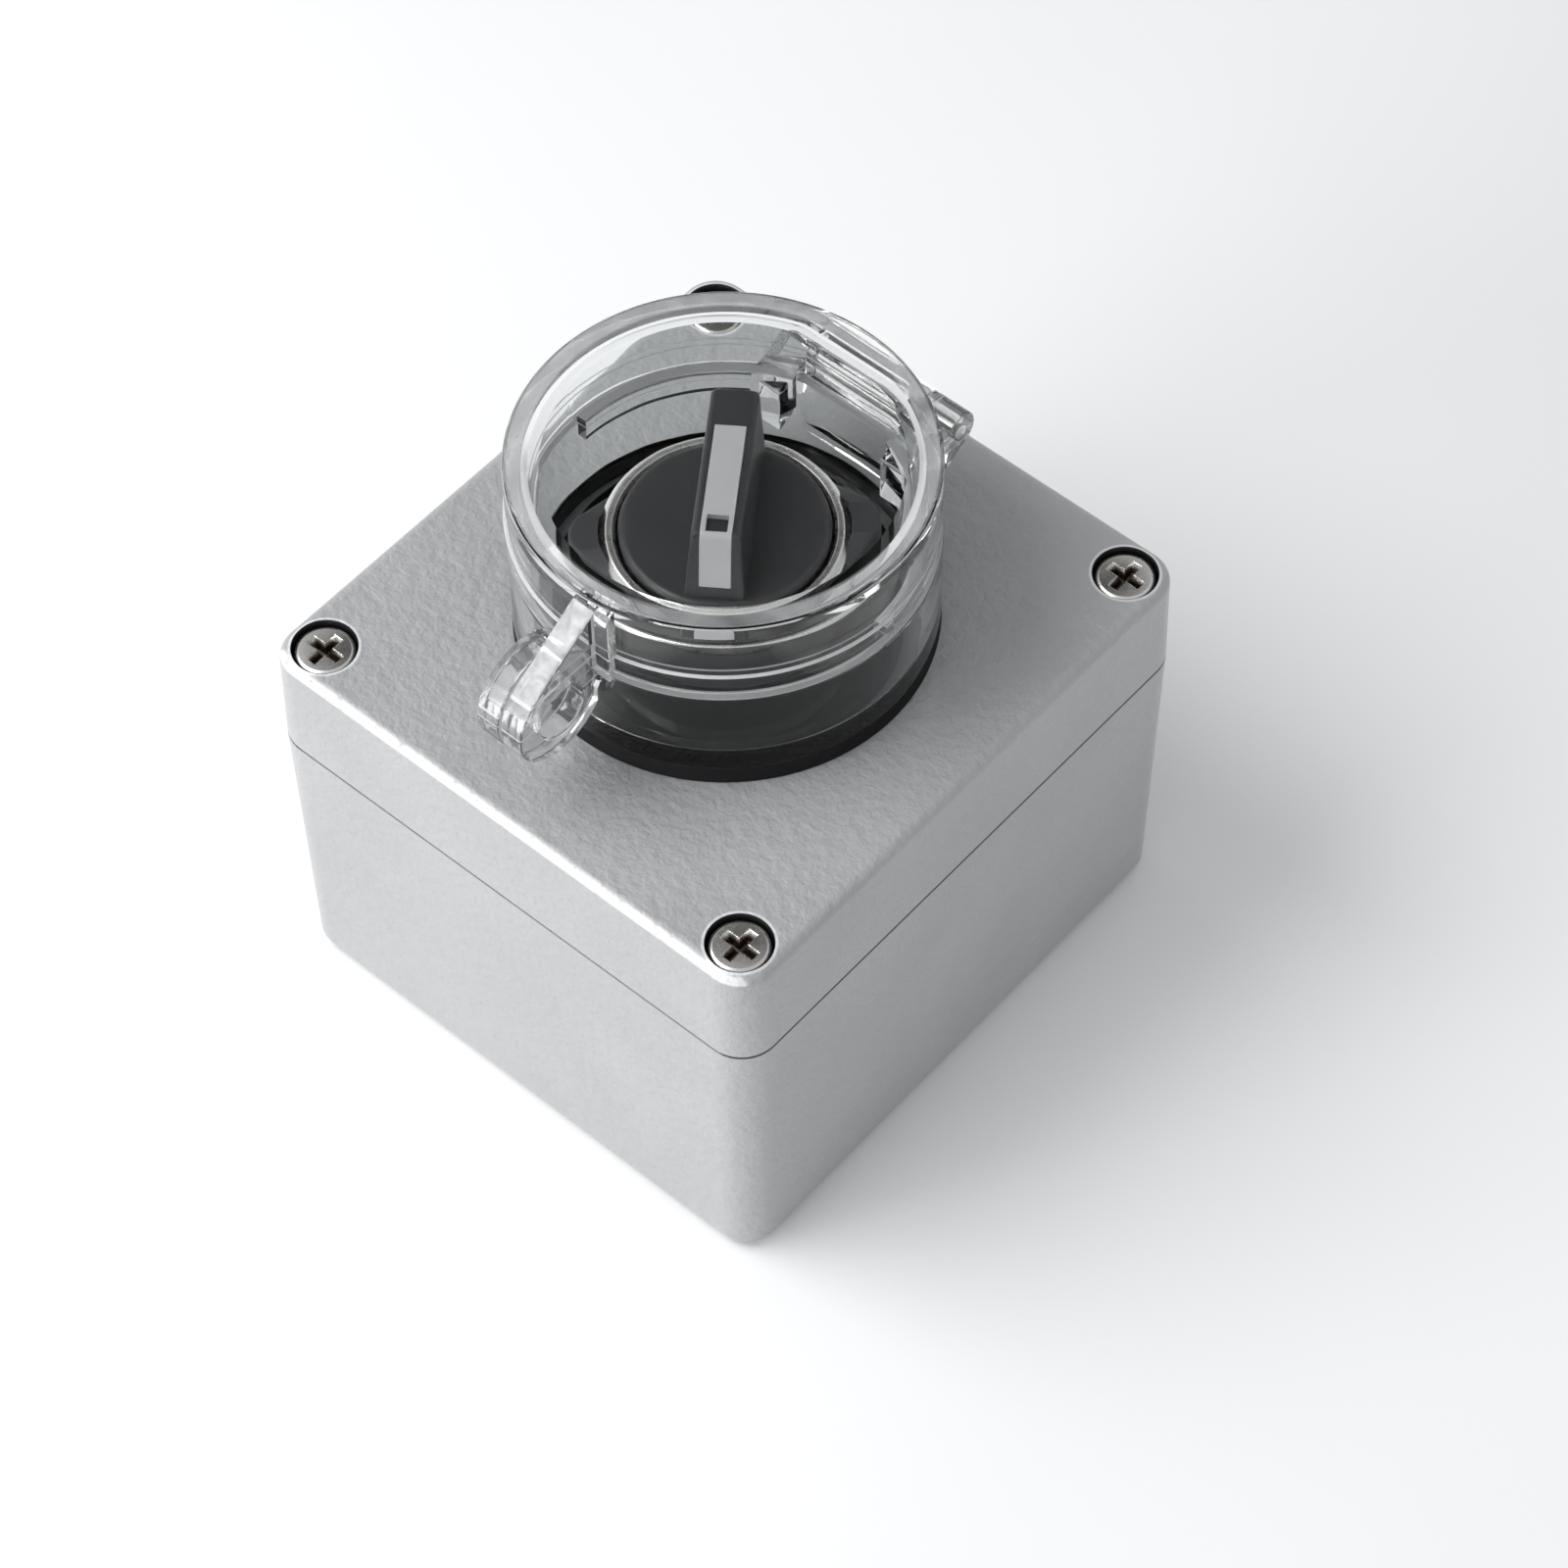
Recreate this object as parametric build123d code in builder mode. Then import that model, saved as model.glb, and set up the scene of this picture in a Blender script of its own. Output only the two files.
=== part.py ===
from build123d import *
import os
from math import atan2, cos, degrees, pi, radians, sin, sqrt, tan

os.makedirs("parts", exist_ok=True)

# Enclosure: die-cast box, measured at the joint between base and lid
box_x = 75.0
box_y = 80.0
box_height = 58.0
lid_height = 15.0
corner_radius = 4.8
base_draft = 0.88
lid_draft = 1.3
side_wall = 3.5
floor_thickness = 4.0
lid_plate = 3.5
bottom_rounding = 2.0
top_rounding = 1.5
joint_chamfer = 0.2
cavity_radius = 4.0

# End pockets hold the lid screws and the wall screws outside the seal
pocket_depth = 7.2
end_wall = 3.0
seal_web = 3.2
pocket_radius = 1.5
screw_post = 10.6

# Seal cord between lid and base
seal_width = 1.5
seal_height = 1.6
seal_side_clearance = 0.1
seal_from_outside = 2.1
seal_corner_radius = 3.0

# Lid screws, M4 with cross-recessed cheese heads
lid_screw_inset = 5.4
screw_radius = 1.95
thread_clearance = 0.05
screw_hole_clearance = 0.3
screw_head_radius = 3.4
screw_head_height = 2.4
screw_head_rounding = 0.8
counterbore_clearance = 0.55
counterbore_depth = 4.2
screw_washer_thickness = 0.8
screw_washer_clearance = 0.1
screw_bite = 14.0
cross_slot_width = 1.1
cross_slot_length = 4.0
cross_slot_depth = 1.5

# Wall fixing holes in the end pockets
wall_hole_radius = 2.25
wall_hole_spacing_x = 40.0

# Cable entry, tapped for M20 x 1.5, in the wall at -X
cable_hole_radius = 9.25
cable_boss_radius = 12.5
cable_boss_length = 8.5
cable_height = 21.5

# Earth terminal on the floor of the base
earth_from_side = 13.5
earth_from_pocket = 7.6
earth_boss_radius = 4.5
earth_boss_height = 6.0
earth_screw_depth = 5.0
saddle_size = 9.0
saddle_thickness = 1.0

# Operator: barrel through the lid, flange above the cover floor
barrel_radius = 11.0
barrel_clearance = 0.15
barrel_below_lid = 11.5
flange_radius = 13.9
flange_height = 5.4
spigot_radius = 12.4
spigot_height = 2.1
stem_radius = 4.97
stem_clearance = 0.08
seal_ring_section = 1.5
cam_cup_radius = 9.8
cam_cup_depth = 9.3

# Collar with two pointed wings, then the metal bezel ring
collar_base = 1.5
wing_height = 4.9
wing_reach = 18.0
wing_tip_radius = 4.0
wing_direction = 45.0
bezel_radius = 14.5
bezel_inner_radius = 12.6
bezel_straight = 1.9
bezel_height = 3.0
bezel_crest = 13.4
bezel_clearance = 0.05

# Selector knob and its pointer insert
knob_radius = 12.3
knob_disc = 3.0
knob_edge_rounding = 1.0
knob_float = 0.2
bar_height = 8.3
bar_foot_width = 7.0
bar_top_width = 5.6
bar_foot_back = -11.9
bar_foot_front = 10.9
bar_top_back = -12.7
bar_top_front = 8.7
bar_rounding = 0.6
pointer_angle = -55.0
insert_width = 3.4
insert_depth = 0.8
insert_back = -7.6
insert_foot_gap = 1.4
window_width = 2.5
window_length = 2.4
window_from_front = 0.7

# Cam: a disc with a slanted lower face that pushes one plunger at each position
cam_radius = 9.5
cam_height = 6.0
cam_lift = 3.0
cam_low_angle = 225.0
cam_clearance = 0.3
cam_shaft_radius = 3.0
shaft_socket_clearance = 0.05
stem_length = 8.0

# Fixing nut and contact block holder
nut_radius = 14.2
nut_height = 4.5
nut_notch_width = 3.0
nut_notch_depth = 1.4
nut_notches = 6
nut_gap = 0.3
holder_x = 28.0
holder_y = 34.0
holder_radius = 3.0
holder_floor = 2.0
holder_window_radius = 9.0
clamp_screw_radius = 1.5
clamp_head_radius = 2.6
clamp_head_height = 1.8

# Contact blocks
plunger_offset = 7.0
block_width = 12.8
block_gap = 1.2
block_length = 42.0
block_height = 22.0
block_wall = 1.6
terminal_room = 4.4
plunger_radius = 1.5
plunger_clearance = 0.1
plunger_tip_gap = 0.35
carrier_width = 6.0
carrier_length = 5.0
carrier_above_bridge = 3.2
carrier_below_bridge = 2.0
guide_pin_radius = 1.2
guide_pin_length = 4.6
bridge_end_clearance = 1.4
bridge_width = 3.2
bridge_thickness = 0.8
contact_gap_closed = 0.1
strap_height = 7.9
strap_thickness = 0.8
strap_reach_in = 4.9
strap_width = 6.0
terminal_screw_radius = 1.6
terminal_head_radius = 2.2
terminal_head_height = 2.0
wire_hole_radius = 1.8
wire_hole_gap = 0.3
spring_radius = 2.2
spring_wire = 0.5
spring_turns = 4
spring_end_gap = 0.1

# Clear cover: base ring, lid, hinge and padlock ears
cover_radius = 25.1
gasket_height = 2.5
gasket_top_step = 0.4
gasket_foot_step = 0.1
cover_floor = 2.0
cover_floor_rounding = 2.0
cover_wall = 2.4
cover_joint_height = 15.6
cover_joint_gap = 0.2
cover_height = 28.0
lip_wall = 1.45
lip_clearance = 0.3
lip_rise = 1.3
lip_foot = 2.2
lid_step_in = 0.15
lid_wall = 1.8
cover_top = 1.8
cover_top_rounding = 0.5
band_height = 4.0
band_step = 0.3
flat_inset = 1.1
flat_height = 8.2
hinge_from_flat = 3.1
hinge_above_joint = 1.6
knuckle_radius = 2.7
hinge_pin_radius = 1.0
hinge_pin_clearance = 0.06
lid_knuckle_width = 14.8
knuckle_gap = 0.2
base_knuckle_width = 4.9
hinge_gusset_height = 6.5
ear_reach = 6.2
ear_height = 14.9
ear_radius = 6.9
ear_thickness = 3.2
ear_gap = 0.3
padlock_radius = 3.6
ear_clearance = 0.35
arm_root_width = 5.2
arm_root_step = 0.6
ear_foot_height = 6.5

# Levels that follow from the sizes above
joint_z = box_height - lid_height
lid_plate_z = box_height - lid_plate
pocket_inner_y = box_y / 2 - end_wall - pocket_depth
cavity_x = box_x - 2 * side_wall
cavity_y = 2 * (pocket_inner_y - seal_web)
screw_x = box_x / 2 - lid_screw_inset
screw_y = box_y / 2 - lid_screw_inset
pocket_length = box_x - 2 * screw_post
pocket_y = pocket_inner_y + pocket_depth / 2
wall_hole_y = pocket_y
screw_seat_z = box_height - counterbore_depth
counterbore_radius = screw_head_radius + counterbore_clearance
tapped_radius = screw_radius + thread_clearance
seal_x = box_x - 2 * (seal_from_outside)
seal_y = 2 * (pocket_inner_y - seal_web / 2)
earth_x = earth_from_side - box_x / 2
earth_y = earth_from_pocket - cavity_y / 2

cover_floor_z = box_height + gasket_height
flange_z = cover_floor_z + cover_floor
collar_z = flange_z + flange_height
bezel_z = collar_z + collar_base
barrel_bottom_z = lid_plate_z - barrel_below_lid
cup_top_z = barrel_bottom_z + cam_cup_depth
knob_z = collar_z + spigot_height + knob_float
knob_top_z = knob_z + knob_disc
bar_top_z = knob_top_z + bar_height
stem_bottom_z = knob_z - stem_length

cam_top_z = cup_top_z - cam_clearance
cam_middle_z = cam_top_z - cam_height
cam_slope = cam_lift / sqrt(2) / plunger_offset

holder_bottom_z = barrel_bottom_z - holder_floor - 0.5
block_bottom_z = holder_bottom_z - block_height
cavity_bottom_z = block_bottom_z + block_wall
cavity_top_z = holder_bottom_z - block_wall
strap_top_z = block_bottom_z + strap_height + block_wall
bridge_pressed_z = strap_top_z + contact_gap_closed

cover_joint_z = box_height + cover_joint_height
cover_lid_z = cover_joint_z + cover_joint_gap
cover_top_z = box_height + cover_height
cover_plate_z = cover_top_z - cover_top
gasket_top_radius = cover_radius - gasket_top_step
gasket_bottom_radius = cover_radius + gasket_foot_step
centre_hole_radius = barrel_radius + barrel_clearance
lid_wall_top_radius = cover_radius - lid_step_in
lip_outer_radius = lid_wall_top_radius - lid_wall - lip_clearance
lip_inner_radius = lip_outer_radius - lip_wall
flat_y = cover_radius - flat_inset
base_flat_inner_y = flat_y - cover_wall
hinge_y = flat_y + hinge_from_flat
ear_y = -cover_radius - ear_reach
hinge_z = cover_joint_z + hinge_above_joint
ear_z = box_height + ear_height
knob_plane = Plane(origin=(0, 0, 0), x_dir=(cos(radians(pointer_angle)), sin(radians(pointer_angle)), 0),
                   z_dir=(0, 0, 1))


def side_plane(x):
    """Plane parallel to YZ at a given x: its local axes are the object's Y and Z."""
    return Plane(origin=(x, 0, 0), x_dir=(0, 1, 0), z_dir=(1, 0, 0))


# Enclosure base: drafted tub, end pockets, screw posts, cable boss and earth boss
with BuildPart() as enclosure_base:
    with BuildSketch(Plane.XY.offset(joint_z)):
        RectangleRounded(box_x, box_y, corner_radius)
    extrude(amount=joint_z, dir=(0, 0, -1), taper=base_draft)
    fillet(enclosure_base.faces().sort_by(Axis.Z)[0].edges(), bottom_rounding)
    chamfer(enclosure_base.faces().sort_by(Axis.Z)[-1].edges(), joint_chamfer)
    with BuildSketch(Plane.XY.offset(floor_thickness)):
        RectangleRounded(cavity_x, cavity_y, cavity_radius)
    extrude(amount=joint_z, mode=Mode.SUBTRACT)
    with BuildSketch(Plane.XY.offset(floor_thickness)):
        with Locations((0, pocket_y), (0, -pocket_y)):
            RectangleRounded(pocket_length, pocket_depth, pocket_radius)
    extrude(amount=joint_z, mode=Mode.SUBTRACT)
    with BuildSketch(Plane.XY):
        with GridLocations(wall_hole_spacing_x, 2 * wall_hole_y, 2, 2):
            Circle(wall_hole_radius)
    extrude(amount=floor_thickness, mode=Mode.SUBTRACT)
    with BuildSketch(Plane.XY.offset(joint_z)):
        with GridLocations(2 * screw_x, 2 * screw_y, 2, 2):
            Circle(tapped_radius)
    extrude(amount=-(screw_bite + 2 * screw_radius), mode=Mode.SUBTRACT)
    with BuildSketch(Plane.YZ.offset(-box_x / 2 + side_wall)):
        with Locations((0, cable_height)):
            Circle(cable_boss_radius)
    extrude(amount=cable_boss_length - side_wall)
    with BuildSketch(Plane.YZ.offset(-box_x / 2)):
        with Locations((0, cable_height)):
            Circle(cable_hole_radius)
    extrude(amount=cable_boss_length, mode=Mode.SUBTRACT)
    with BuildSketch(Plane.XY.offset(floor_thickness)):
        with Locations((earth_x, earth_y)):
            Circle(earth_boss_radius)
    extrude(amount=earth_boss_height)
    with BuildSketch(Plane.XY.offset(floor_thickness + earth_boss_height)):
        with Locations((earth_x, earth_y)):
            Circle(tapped_radius)
    extrude(amount=-(earth_screw_depth + screw_radius / 2), mode=Mode.SUBTRACT)
enclosure_base.part.label = "enclosure_base"
export_step(enclosure_base.part, "parts/enclosure_base.step")

# Enclosure lid: drafted cap with a seal groove, screw counterbores and the operator hole
with BuildPart() as enclosure_lid:
    with BuildSketch(Plane.XY.offset(joint_z)):
        RectangleRounded(box_x, box_y, corner_radius)
    extrude(amount=lid_height, taper=lid_draft)
    fillet(enclosure_lid.faces().sort_by(Axis.Z)[-1].edges(), top_rounding)
    chamfer(enclosure_lid.faces().sort_by(Axis.Z)[0].edges(), joint_chamfer)
    with BuildSketch(Plane.XY.offset(joint_z)):
        RectangleRounded(cavity_x, cavity_y, cavity_radius)
        with Locations((0, pocket_y), (0, -pocket_y)):
            RectangleRounded(pocket_length, pocket_depth, pocket_radius)
    extrude(amount=lid_height - lid_plate, mode=Mode.SUBTRACT)
    with BuildSketch(Plane.XY.offset(joint_z)):
        RectangleRounded(seal_x + seal_width + 2 * seal_side_clearance,
                         seal_y + seal_width + 2 * seal_side_clearance,
                         seal_corner_radius + seal_width / 2 + seal_side_clearance)
        RectangleRounded(seal_x - seal_width - 2 * seal_side_clearance,
                         seal_y - seal_width - 2 * seal_side_clearance,
                         seal_corner_radius - seal_width / 2 - seal_side_clearance, mode=Mode.SUBTRACT)
    extrude(amount=seal_height, mode=Mode.SUBTRACT)
    with BuildSketch(Plane.XY.offset(joint_z)):
        with GridLocations(2 * screw_x, 2 * screw_y, 2, 2):
            Circle(screw_radius + screw_hole_clearance)
        Circle(centre_hole_radius)
    extrude(amount=lid_height, mode=Mode.SUBTRACT)
    with BuildSketch(Plane.XY.offset(screw_seat_z)):
        with GridLocations(2 * screw_x, 2 * screw_y, 2, 2):
            Circle(counterbore_radius)
    extrude(amount=counterbore_depth, mode=Mode.SUBTRACT)
enclosure_lid.part.label = "enclosure_lid"
export_step(enclosure_lid.part, "parts/enclosure_lid.step")

# Seal cord in the lid's groove
with BuildPart() as lid_gasket:
    with BuildSketch(Plane.XY.offset(joint_z)):
        RectangleRounded(seal_x + seal_width, seal_y + seal_width, seal_corner_radius + seal_width / 2)
        RectangleRounded(seal_x - seal_width, seal_y - seal_width, seal_corner_radius - seal_width / 2,
                         mode=Mode.SUBTRACT)
    extrude(amount=seal_height)
lid_gasket.part.label = "lid_gasket"
export_step(lid_gasket.part, "parts/lid_gasket.step")

# Washers under the lid screw heads
with BuildPart() as lid_screw_washers:
    with BuildSketch(Plane.XY.offset(screw_seat_z)):
        with GridLocations(2 * screw_x, 2 * screw_y, 2, 2):
            Circle(counterbore_radius - screw_washer_clearance)
            Circle(screw_radius + thread_clearance, mode=Mode.SUBTRACT)
    extrude(amount=screw_washer_thickness)
lid_screw_washers.part.label = "lid_screw_washers"
export_step(lid_screw_washers.part, "parts/lid_screw_washers.step")

# Lid screws: four separate solids
screw_head_z = screw_seat_z + screw_washer_thickness
with BuildPart() as lid_screws:
    with BuildSketch(Plane.XY.offset(screw_head_z)):
        with GridLocations(2 * screw_x, 2 * screw_y, 2, 2):
            Circle(screw_head_radius)
    extrude(amount=screw_head_height)
    fillet(lid_screws.edges().group_by(Axis.Z)[-1], screw_head_rounding)
    with BuildSketch(Plane.XY.offset(joint_z - screw_bite)):
        with GridLocations(2 * screw_x, 2 * screw_y, 2, 2):
            Circle(screw_radius)
    extrude(amount=screw_head_z - joint_z + screw_bite)
    with BuildSketch(Plane.XY.offset(screw_head_z + screw_head_height)):
        with GridLocations(2 * screw_x, 2 * screw_y, 2, 2):
            Rectangle(cross_slot_length, cross_slot_width)
            Rectangle(cross_slot_width, cross_slot_length)
    extrude(amount=-cross_slot_depth, mode=Mode.SUBTRACT)
lid_screws.part.label = "lid_screws"
export_step(lid_screws.part, "parts/lid_screws.step")

# Earth terminal: saddle washer and screw on the floor boss
earth_seat_z = floor_thickness + earth_boss_height
with BuildPart() as earth_saddle:
    with BuildSketch(Plane.XY.offset(earth_seat_z)):
        with Locations((earth_x, earth_y)):
            RectangleRounded(saddle_size, saddle_size, saddle_thickness)
            Circle(tapped_radius, mode=Mode.SUBTRACT)
    extrude(amount=saddle_thickness)
earth_saddle.part.label = "earth_saddle"
export_step(earth_saddle.part, "parts/earth_saddle.step")

earth_head_z = earth_seat_z + saddle_thickness
with BuildPart() as earth_screw:
    with BuildSketch(Plane.XY.offset(earth_head_z)):
        with Locations((earth_x, earth_y)):
            Circle(screw_head_radius)
    extrude(amount=screw_head_height)
    fillet(earth_screw.edges().group_by(Axis.Z)[-1], screw_head_rounding)
    with BuildSketch(Plane.XY.offset(earth_head_z - earth_screw_depth)):
        with Locations((earth_x, earth_y)):
            Circle(screw_radius)
    extrude(amount=earth_screw_depth)
    with BuildSketch(Plane.XY.offset(earth_head_z + screw_head_height)):
        with Locations((earth_x, earth_y)):
            Rectangle(cross_slot_length, cross_slot_width)
            Rectangle(cross_slot_width, cross_slot_length)
    extrude(amount=-cross_slot_depth, mode=Mode.SUBTRACT)
earth_screw.part.label = "earth_screw"
export_step(earth_screw.part, "parts/earth_screw.step")

# Operator body: barrel, flange and spigot turned about Z, with the cam cup below
with BuildPart() as operator_body:
    with BuildSketch(Plane.XZ):
        with BuildLine():
            Polyline(
                (stem_radius + stem_clearance, cup_top_z),
                (stem_radius + stem_clearance, collar_z + spigot_height),
                (spigot_radius, collar_z + spigot_height),
                (spigot_radius, collar_z),
                (flange_radius, collar_z),
                (flange_radius, flange_z),
                (barrel_radius, flange_z),
                (barrel_radius, barrel_bottom_z),
                (cam_cup_radius, barrel_bottom_z),
                (cam_cup_radius, cup_top_z),
                close=True,
            )
        make_face()
    revolve(axis=Axis.Z)
    with BuildSketch(Plane.XY.offset(flange_z)):
        Circle(stem_radius + stem_clearance + seal_ring_section)
    extrude(amount=2 * seal_ring_section, mode=Mode.SUBTRACT)
operator_body.part.label = "operator_body"
export_step(operator_body.part, "parts/operator_body.step")

# Seal ring round the knob's stem
with BuildPart() as shaft_seal:
    with BuildSketch(Plane.XY.offset(flange_z)):
        Circle(stem_radius + stem_clearance + seal_ring_section)
        Circle(stem_radius + stem_clearance, mode=Mode.SUBTRACT)
    extrude(amount=2 * seal_ring_section)
shaft_seal.part.label = "shaft_seal"
export_step(shaft_seal.part, "parts/shaft_seal.step")

# Collar: eye-shaped plate whose two wings stand up beside the bezel
wing_centre = wing_reach - wing_tip_radius
with BuildPart() as wing_collar:
    with BuildSketch(Plane.XY.offset(collar_z)):
        Circle(bezel_radius)
        with PolarLocations(wing_centre, 2, start_angle=wing_direction):
            Circle(wing_tip_radius)
        make_hull()
    extrude(amount=wing_height, taper=-1)
    with BuildSketch(Plane.XY.offset(bezel_z)):
        Circle(bezel_radius + bezel_clearance)
    extrude(amount=wing_height, mode=Mode.SUBTRACT)
    with BuildSketch(Plane.XY.offset(collar_z)):
        Circle(spigot_radius + bezel_clearance)
    extrude(amount=collar_base, mode=Mode.SUBTRACT)
wing_collar.part.label = "wing_collar"
export_step(wing_collar.part, "parts/wing_collar.step")

# Bezel ring: straight outside, crest rounded over towards the knob
with BuildPart() as bezel_ring:
    with BuildSketch(Plane.XZ):
        with BuildLine():
            Line((bezel_inner_radius, bezel_z), (bezel_radius, bezel_z))
            Line((bezel_radius, bezel_z), (bezel_radius, bezel_z + bezel_straight))
            ThreePointArc(
                (bezel_radius, bezel_z + bezel_straight),
                (bezel_radius - 0.3 * (bezel_radius - bezel_crest),
                 bezel_z + bezel_straight + 0.72 * (bezel_height - bezel_straight)),
                (bezel_crest, bezel_z + bezel_height),
            )
            Line((bezel_crest, bezel_z + bezel_height), (bezel_inner_radius, bezel_z + bezel_height - 0.3))
            Line((bezel_inner_radius, bezel_z + bezel_height - 0.3), (bezel_inner_radius, bezel_z))
        make_face()
    revolve(axis=Axis.Z)
bezel_ring.part.label = "bezel_ring"
export_step(bezel_ring.part, "parts/bezel_ring.step")

# Pointer insert outline, seen from the side: along the bar's top, then down its front
bar_front_slope = (bar_foot_front - bar_top_front) / bar_height
insert_foot_z = knob_top_z + insert_foot_gap
insert_foot_front = bar_top_front + (bar_top_z - insert_foot_z) * bar_front_slope
pointer_side = Plane(origin=(0, 0, 0), x_dir=knob_plane.x_dir, z_dir=-knob_plane.y_dir)
with BuildPart() as knob_insert:
    with BuildSketch(pointer_side):
        with BuildLine():
            Polyline(
                (insert_back, bar_top_z),
                (bar_top_front, bar_top_z),
                (insert_foot_front, insert_foot_z),
                (insert_foot_front - insert_depth, insert_foot_z),
                (bar_top_front - insert_depth, bar_top_z - insert_depth),
                (insert_back, bar_top_z - insert_depth),
                close=True,
            )
        make_face()
    extrude(amount=insert_width / 2, both=True)
    with BuildSketch(knob_plane.offset(bar_top_z)):
        with Locations((bar_top_front - window_from_front - window_length / 2, 0)):
            Rectangle(window_length, window_width)
    extrude(amount=-insert_depth, mode=Mode.SUBTRACT)
knob_insert.part.label = "knob_insert"
export_step(knob_insert.part, "parts/knob_insert.step")

# Selector knob: disc, tapered handle bar, stem and the channel for the insert
with BuildPart() as selector_knob:
    with BuildSketch(Plane.XY.offset(knob_z)):
        Circle(knob_radius)
    extrude(amount=knob_disc)
    fillet(selector_knob.edges().group_by(Axis.Z)[-1], knob_edge_rounding)
    with BuildSketch(knob_plane.offset(knob_top_z)):
        with Locations(((bar_foot_back + bar_foot_front) / 2, 0)):
            Rectangle(bar_foot_front - bar_foot_back, bar_foot_width)
    with BuildSketch(knob_plane.offset(bar_top_z)):
        with Locations(((bar_top_back + bar_top_front) / 2, 0)):
            Rectangle(bar_top_front - bar_top_back, bar_top_width)
    loft()
    fillet(selector_knob.faces().sort_by(Axis.Z)[-1].edges(), bar_rounding)
    with BuildSketch(knob_plane.offset(knob_z + knob_edge_rounding)):
        with Locations(((bar_foot_back + bar_foot_front) / 2, 0)):
            Rectangle(bar_foot_front - bar_foot_back, bar_foot_width)
    extrude(amount=knob_disc - knob_edge_rounding)
    with BuildSketch(pointer_side):
        with BuildLine():
            Polyline(
                (insert_back, bar_top_z + insert_depth),
                (bar_top_front, bar_top_z + insert_depth),
                (insert_foot_front + insert_depth, insert_foot_z),
                (insert_foot_front - insert_depth, insert_foot_z),
                (bar_top_front - insert_depth, bar_top_z - insert_depth),
                (insert_back, bar_top_z - insert_depth),
                close=True,
            )
        make_face()
    extrude(amount=insert_width / 2, both=True, mode=Mode.SUBTRACT)
    with BuildSketch(Plane.XY.offset(knob_z)):
        Circle(stem_radius)
    extrude(amount=-stem_length)
    with BuildSketch(Plane.XY.offset(stem_bottom_z)):
        Circle(cam_shaft_radius + shaft_socket_clearance)
    extrude(amount=stem_length - knob_disc / 2, mode=Mode.SUBTRACT)
selector_knob.part.label = "selector_knob"
export_step(selector_knob.part, "parts/selector_knob.step")

# Cam shaft: shaft in the knob's stem, disc cut by a slanted plane below
cam_plane = Plane(
    origin=(0, 0, cam_middle_z),
    z_dir=(cam_slope * cos(radians(cam_low_angle)), cam_slope * sin(radians(cam_low_angle)), 1),
)
with BuildPart() as cam_shaft:
    with BuildSketch(Plane.XY.offset(barrel_bottom_z)):
        Circle(cam_radius)
    extrude(amount=cam_top_z - barrel_bottom_z)
    split(bisect_by=cam_plane, keep=Keep.TOP)
    with BuildSketch(Plane.XY.offset(cam_top_z)):
        Circle(cam_shaft_radius)
    extrude(amount=stem_bottom_z + stem_length - knob_disc / 2 - cam_clearance - cam_top_z)
cam_shaft.part.label = "cam_shaft"
export_step(cam_shaft.part, "parts/cam_shaft.step")

# Fixing nut: round, with notches for a pin wrench
with BuildPart() as fixing_nut:
    with BuildSketch(Plane.XY.offset(lid_plate_z - nut_height)):
        Circle(nut_radius)
        with PolarLocations(nut_radius, nut_notches):
            Rectangle(2 * nut_notch_depth, nut_notch_width, mode=Mode.SUBTRACT)
        Circle(barrel_radius + thread_clearance, mode=Mode.SUBTRACT)
    extrude(amount=nut_height)
fixing_nut.part.label = "fixing_nut"
export_step(fixing_nut.part, "parts/fixing_nut.step")

# Holder: square collar clamped on the barrel, with a floor that carries the blocks
holder_top_z = lid_plate_z - nut_height - nut_gap
clamp_z = (holder_top_z + barrel_bottom_z) / 2
clamp_x = (holder_x / 2 + barrel_radius) / 2
with BuildPart() as block_holder:
    with BuildSketch(Plane.XY.offset(holder_bottom_z)):
        RectangleRounded(holder_x, holder_y, holder_radius)
    extrude(amount=holder_top_z - holder_bottom_z)
    with BuildSketch(Plane.XY.offset(holder_bottom_z)):
        Circle(holder_window_radius)
    extrude(amount=holder_floor, mode=Mode.SUBTRACT)
    with BuildSketch(Plane.XY.offset(holder_bottom_z + holder_floor)):
        Circle(barrel_radius + thread_clearance)
    extrude(amount=holder_top_z, mode=Mode.SUBTRACT)
    with BuildSketch(Plane.XZ.offset(-holder_y / 2)):
        with Locations((clamp_x, clamp_z), (-clamp_x, clamp_z)):
            Circle(clamp_screw_radius + thread_clearance)
    extrude(amount=holder_y / 2 - barrel_radius / 2, mode=Mode.SUBTRACT)
block_holder.part.label = "block_holder"
export_step(block_holder.part, "parts/block_holder.step")

# Clamp screws: two, driven in from +Y beside the barrel
with BuildPart() as clamp_screws:
    with BuildSketch(Plane.XZ.offset(-holder_y / 2)):
        with Locations((clamp_x, clamp_z), (-clamp_x, clamp_z)):
            Circle(clamp_screw_radius)
    extrude(amount=holder_y / 2 - barrel_radius / 2 - clamp_screw_radius)
    with BuildSketch(Plane.XZ.offset(-holder_y / 2)):
        with Locations((clamp_x, clamp_z), (-clamp_x, clamp_z)):
            Circle(clamp_head_radius)
    extrude(amount=-clamp_head_height)
clamp_screws.part.label = "clamp_screws"
export_step(clamp_screws.part, "parts/clamp_screws.step")

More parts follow.
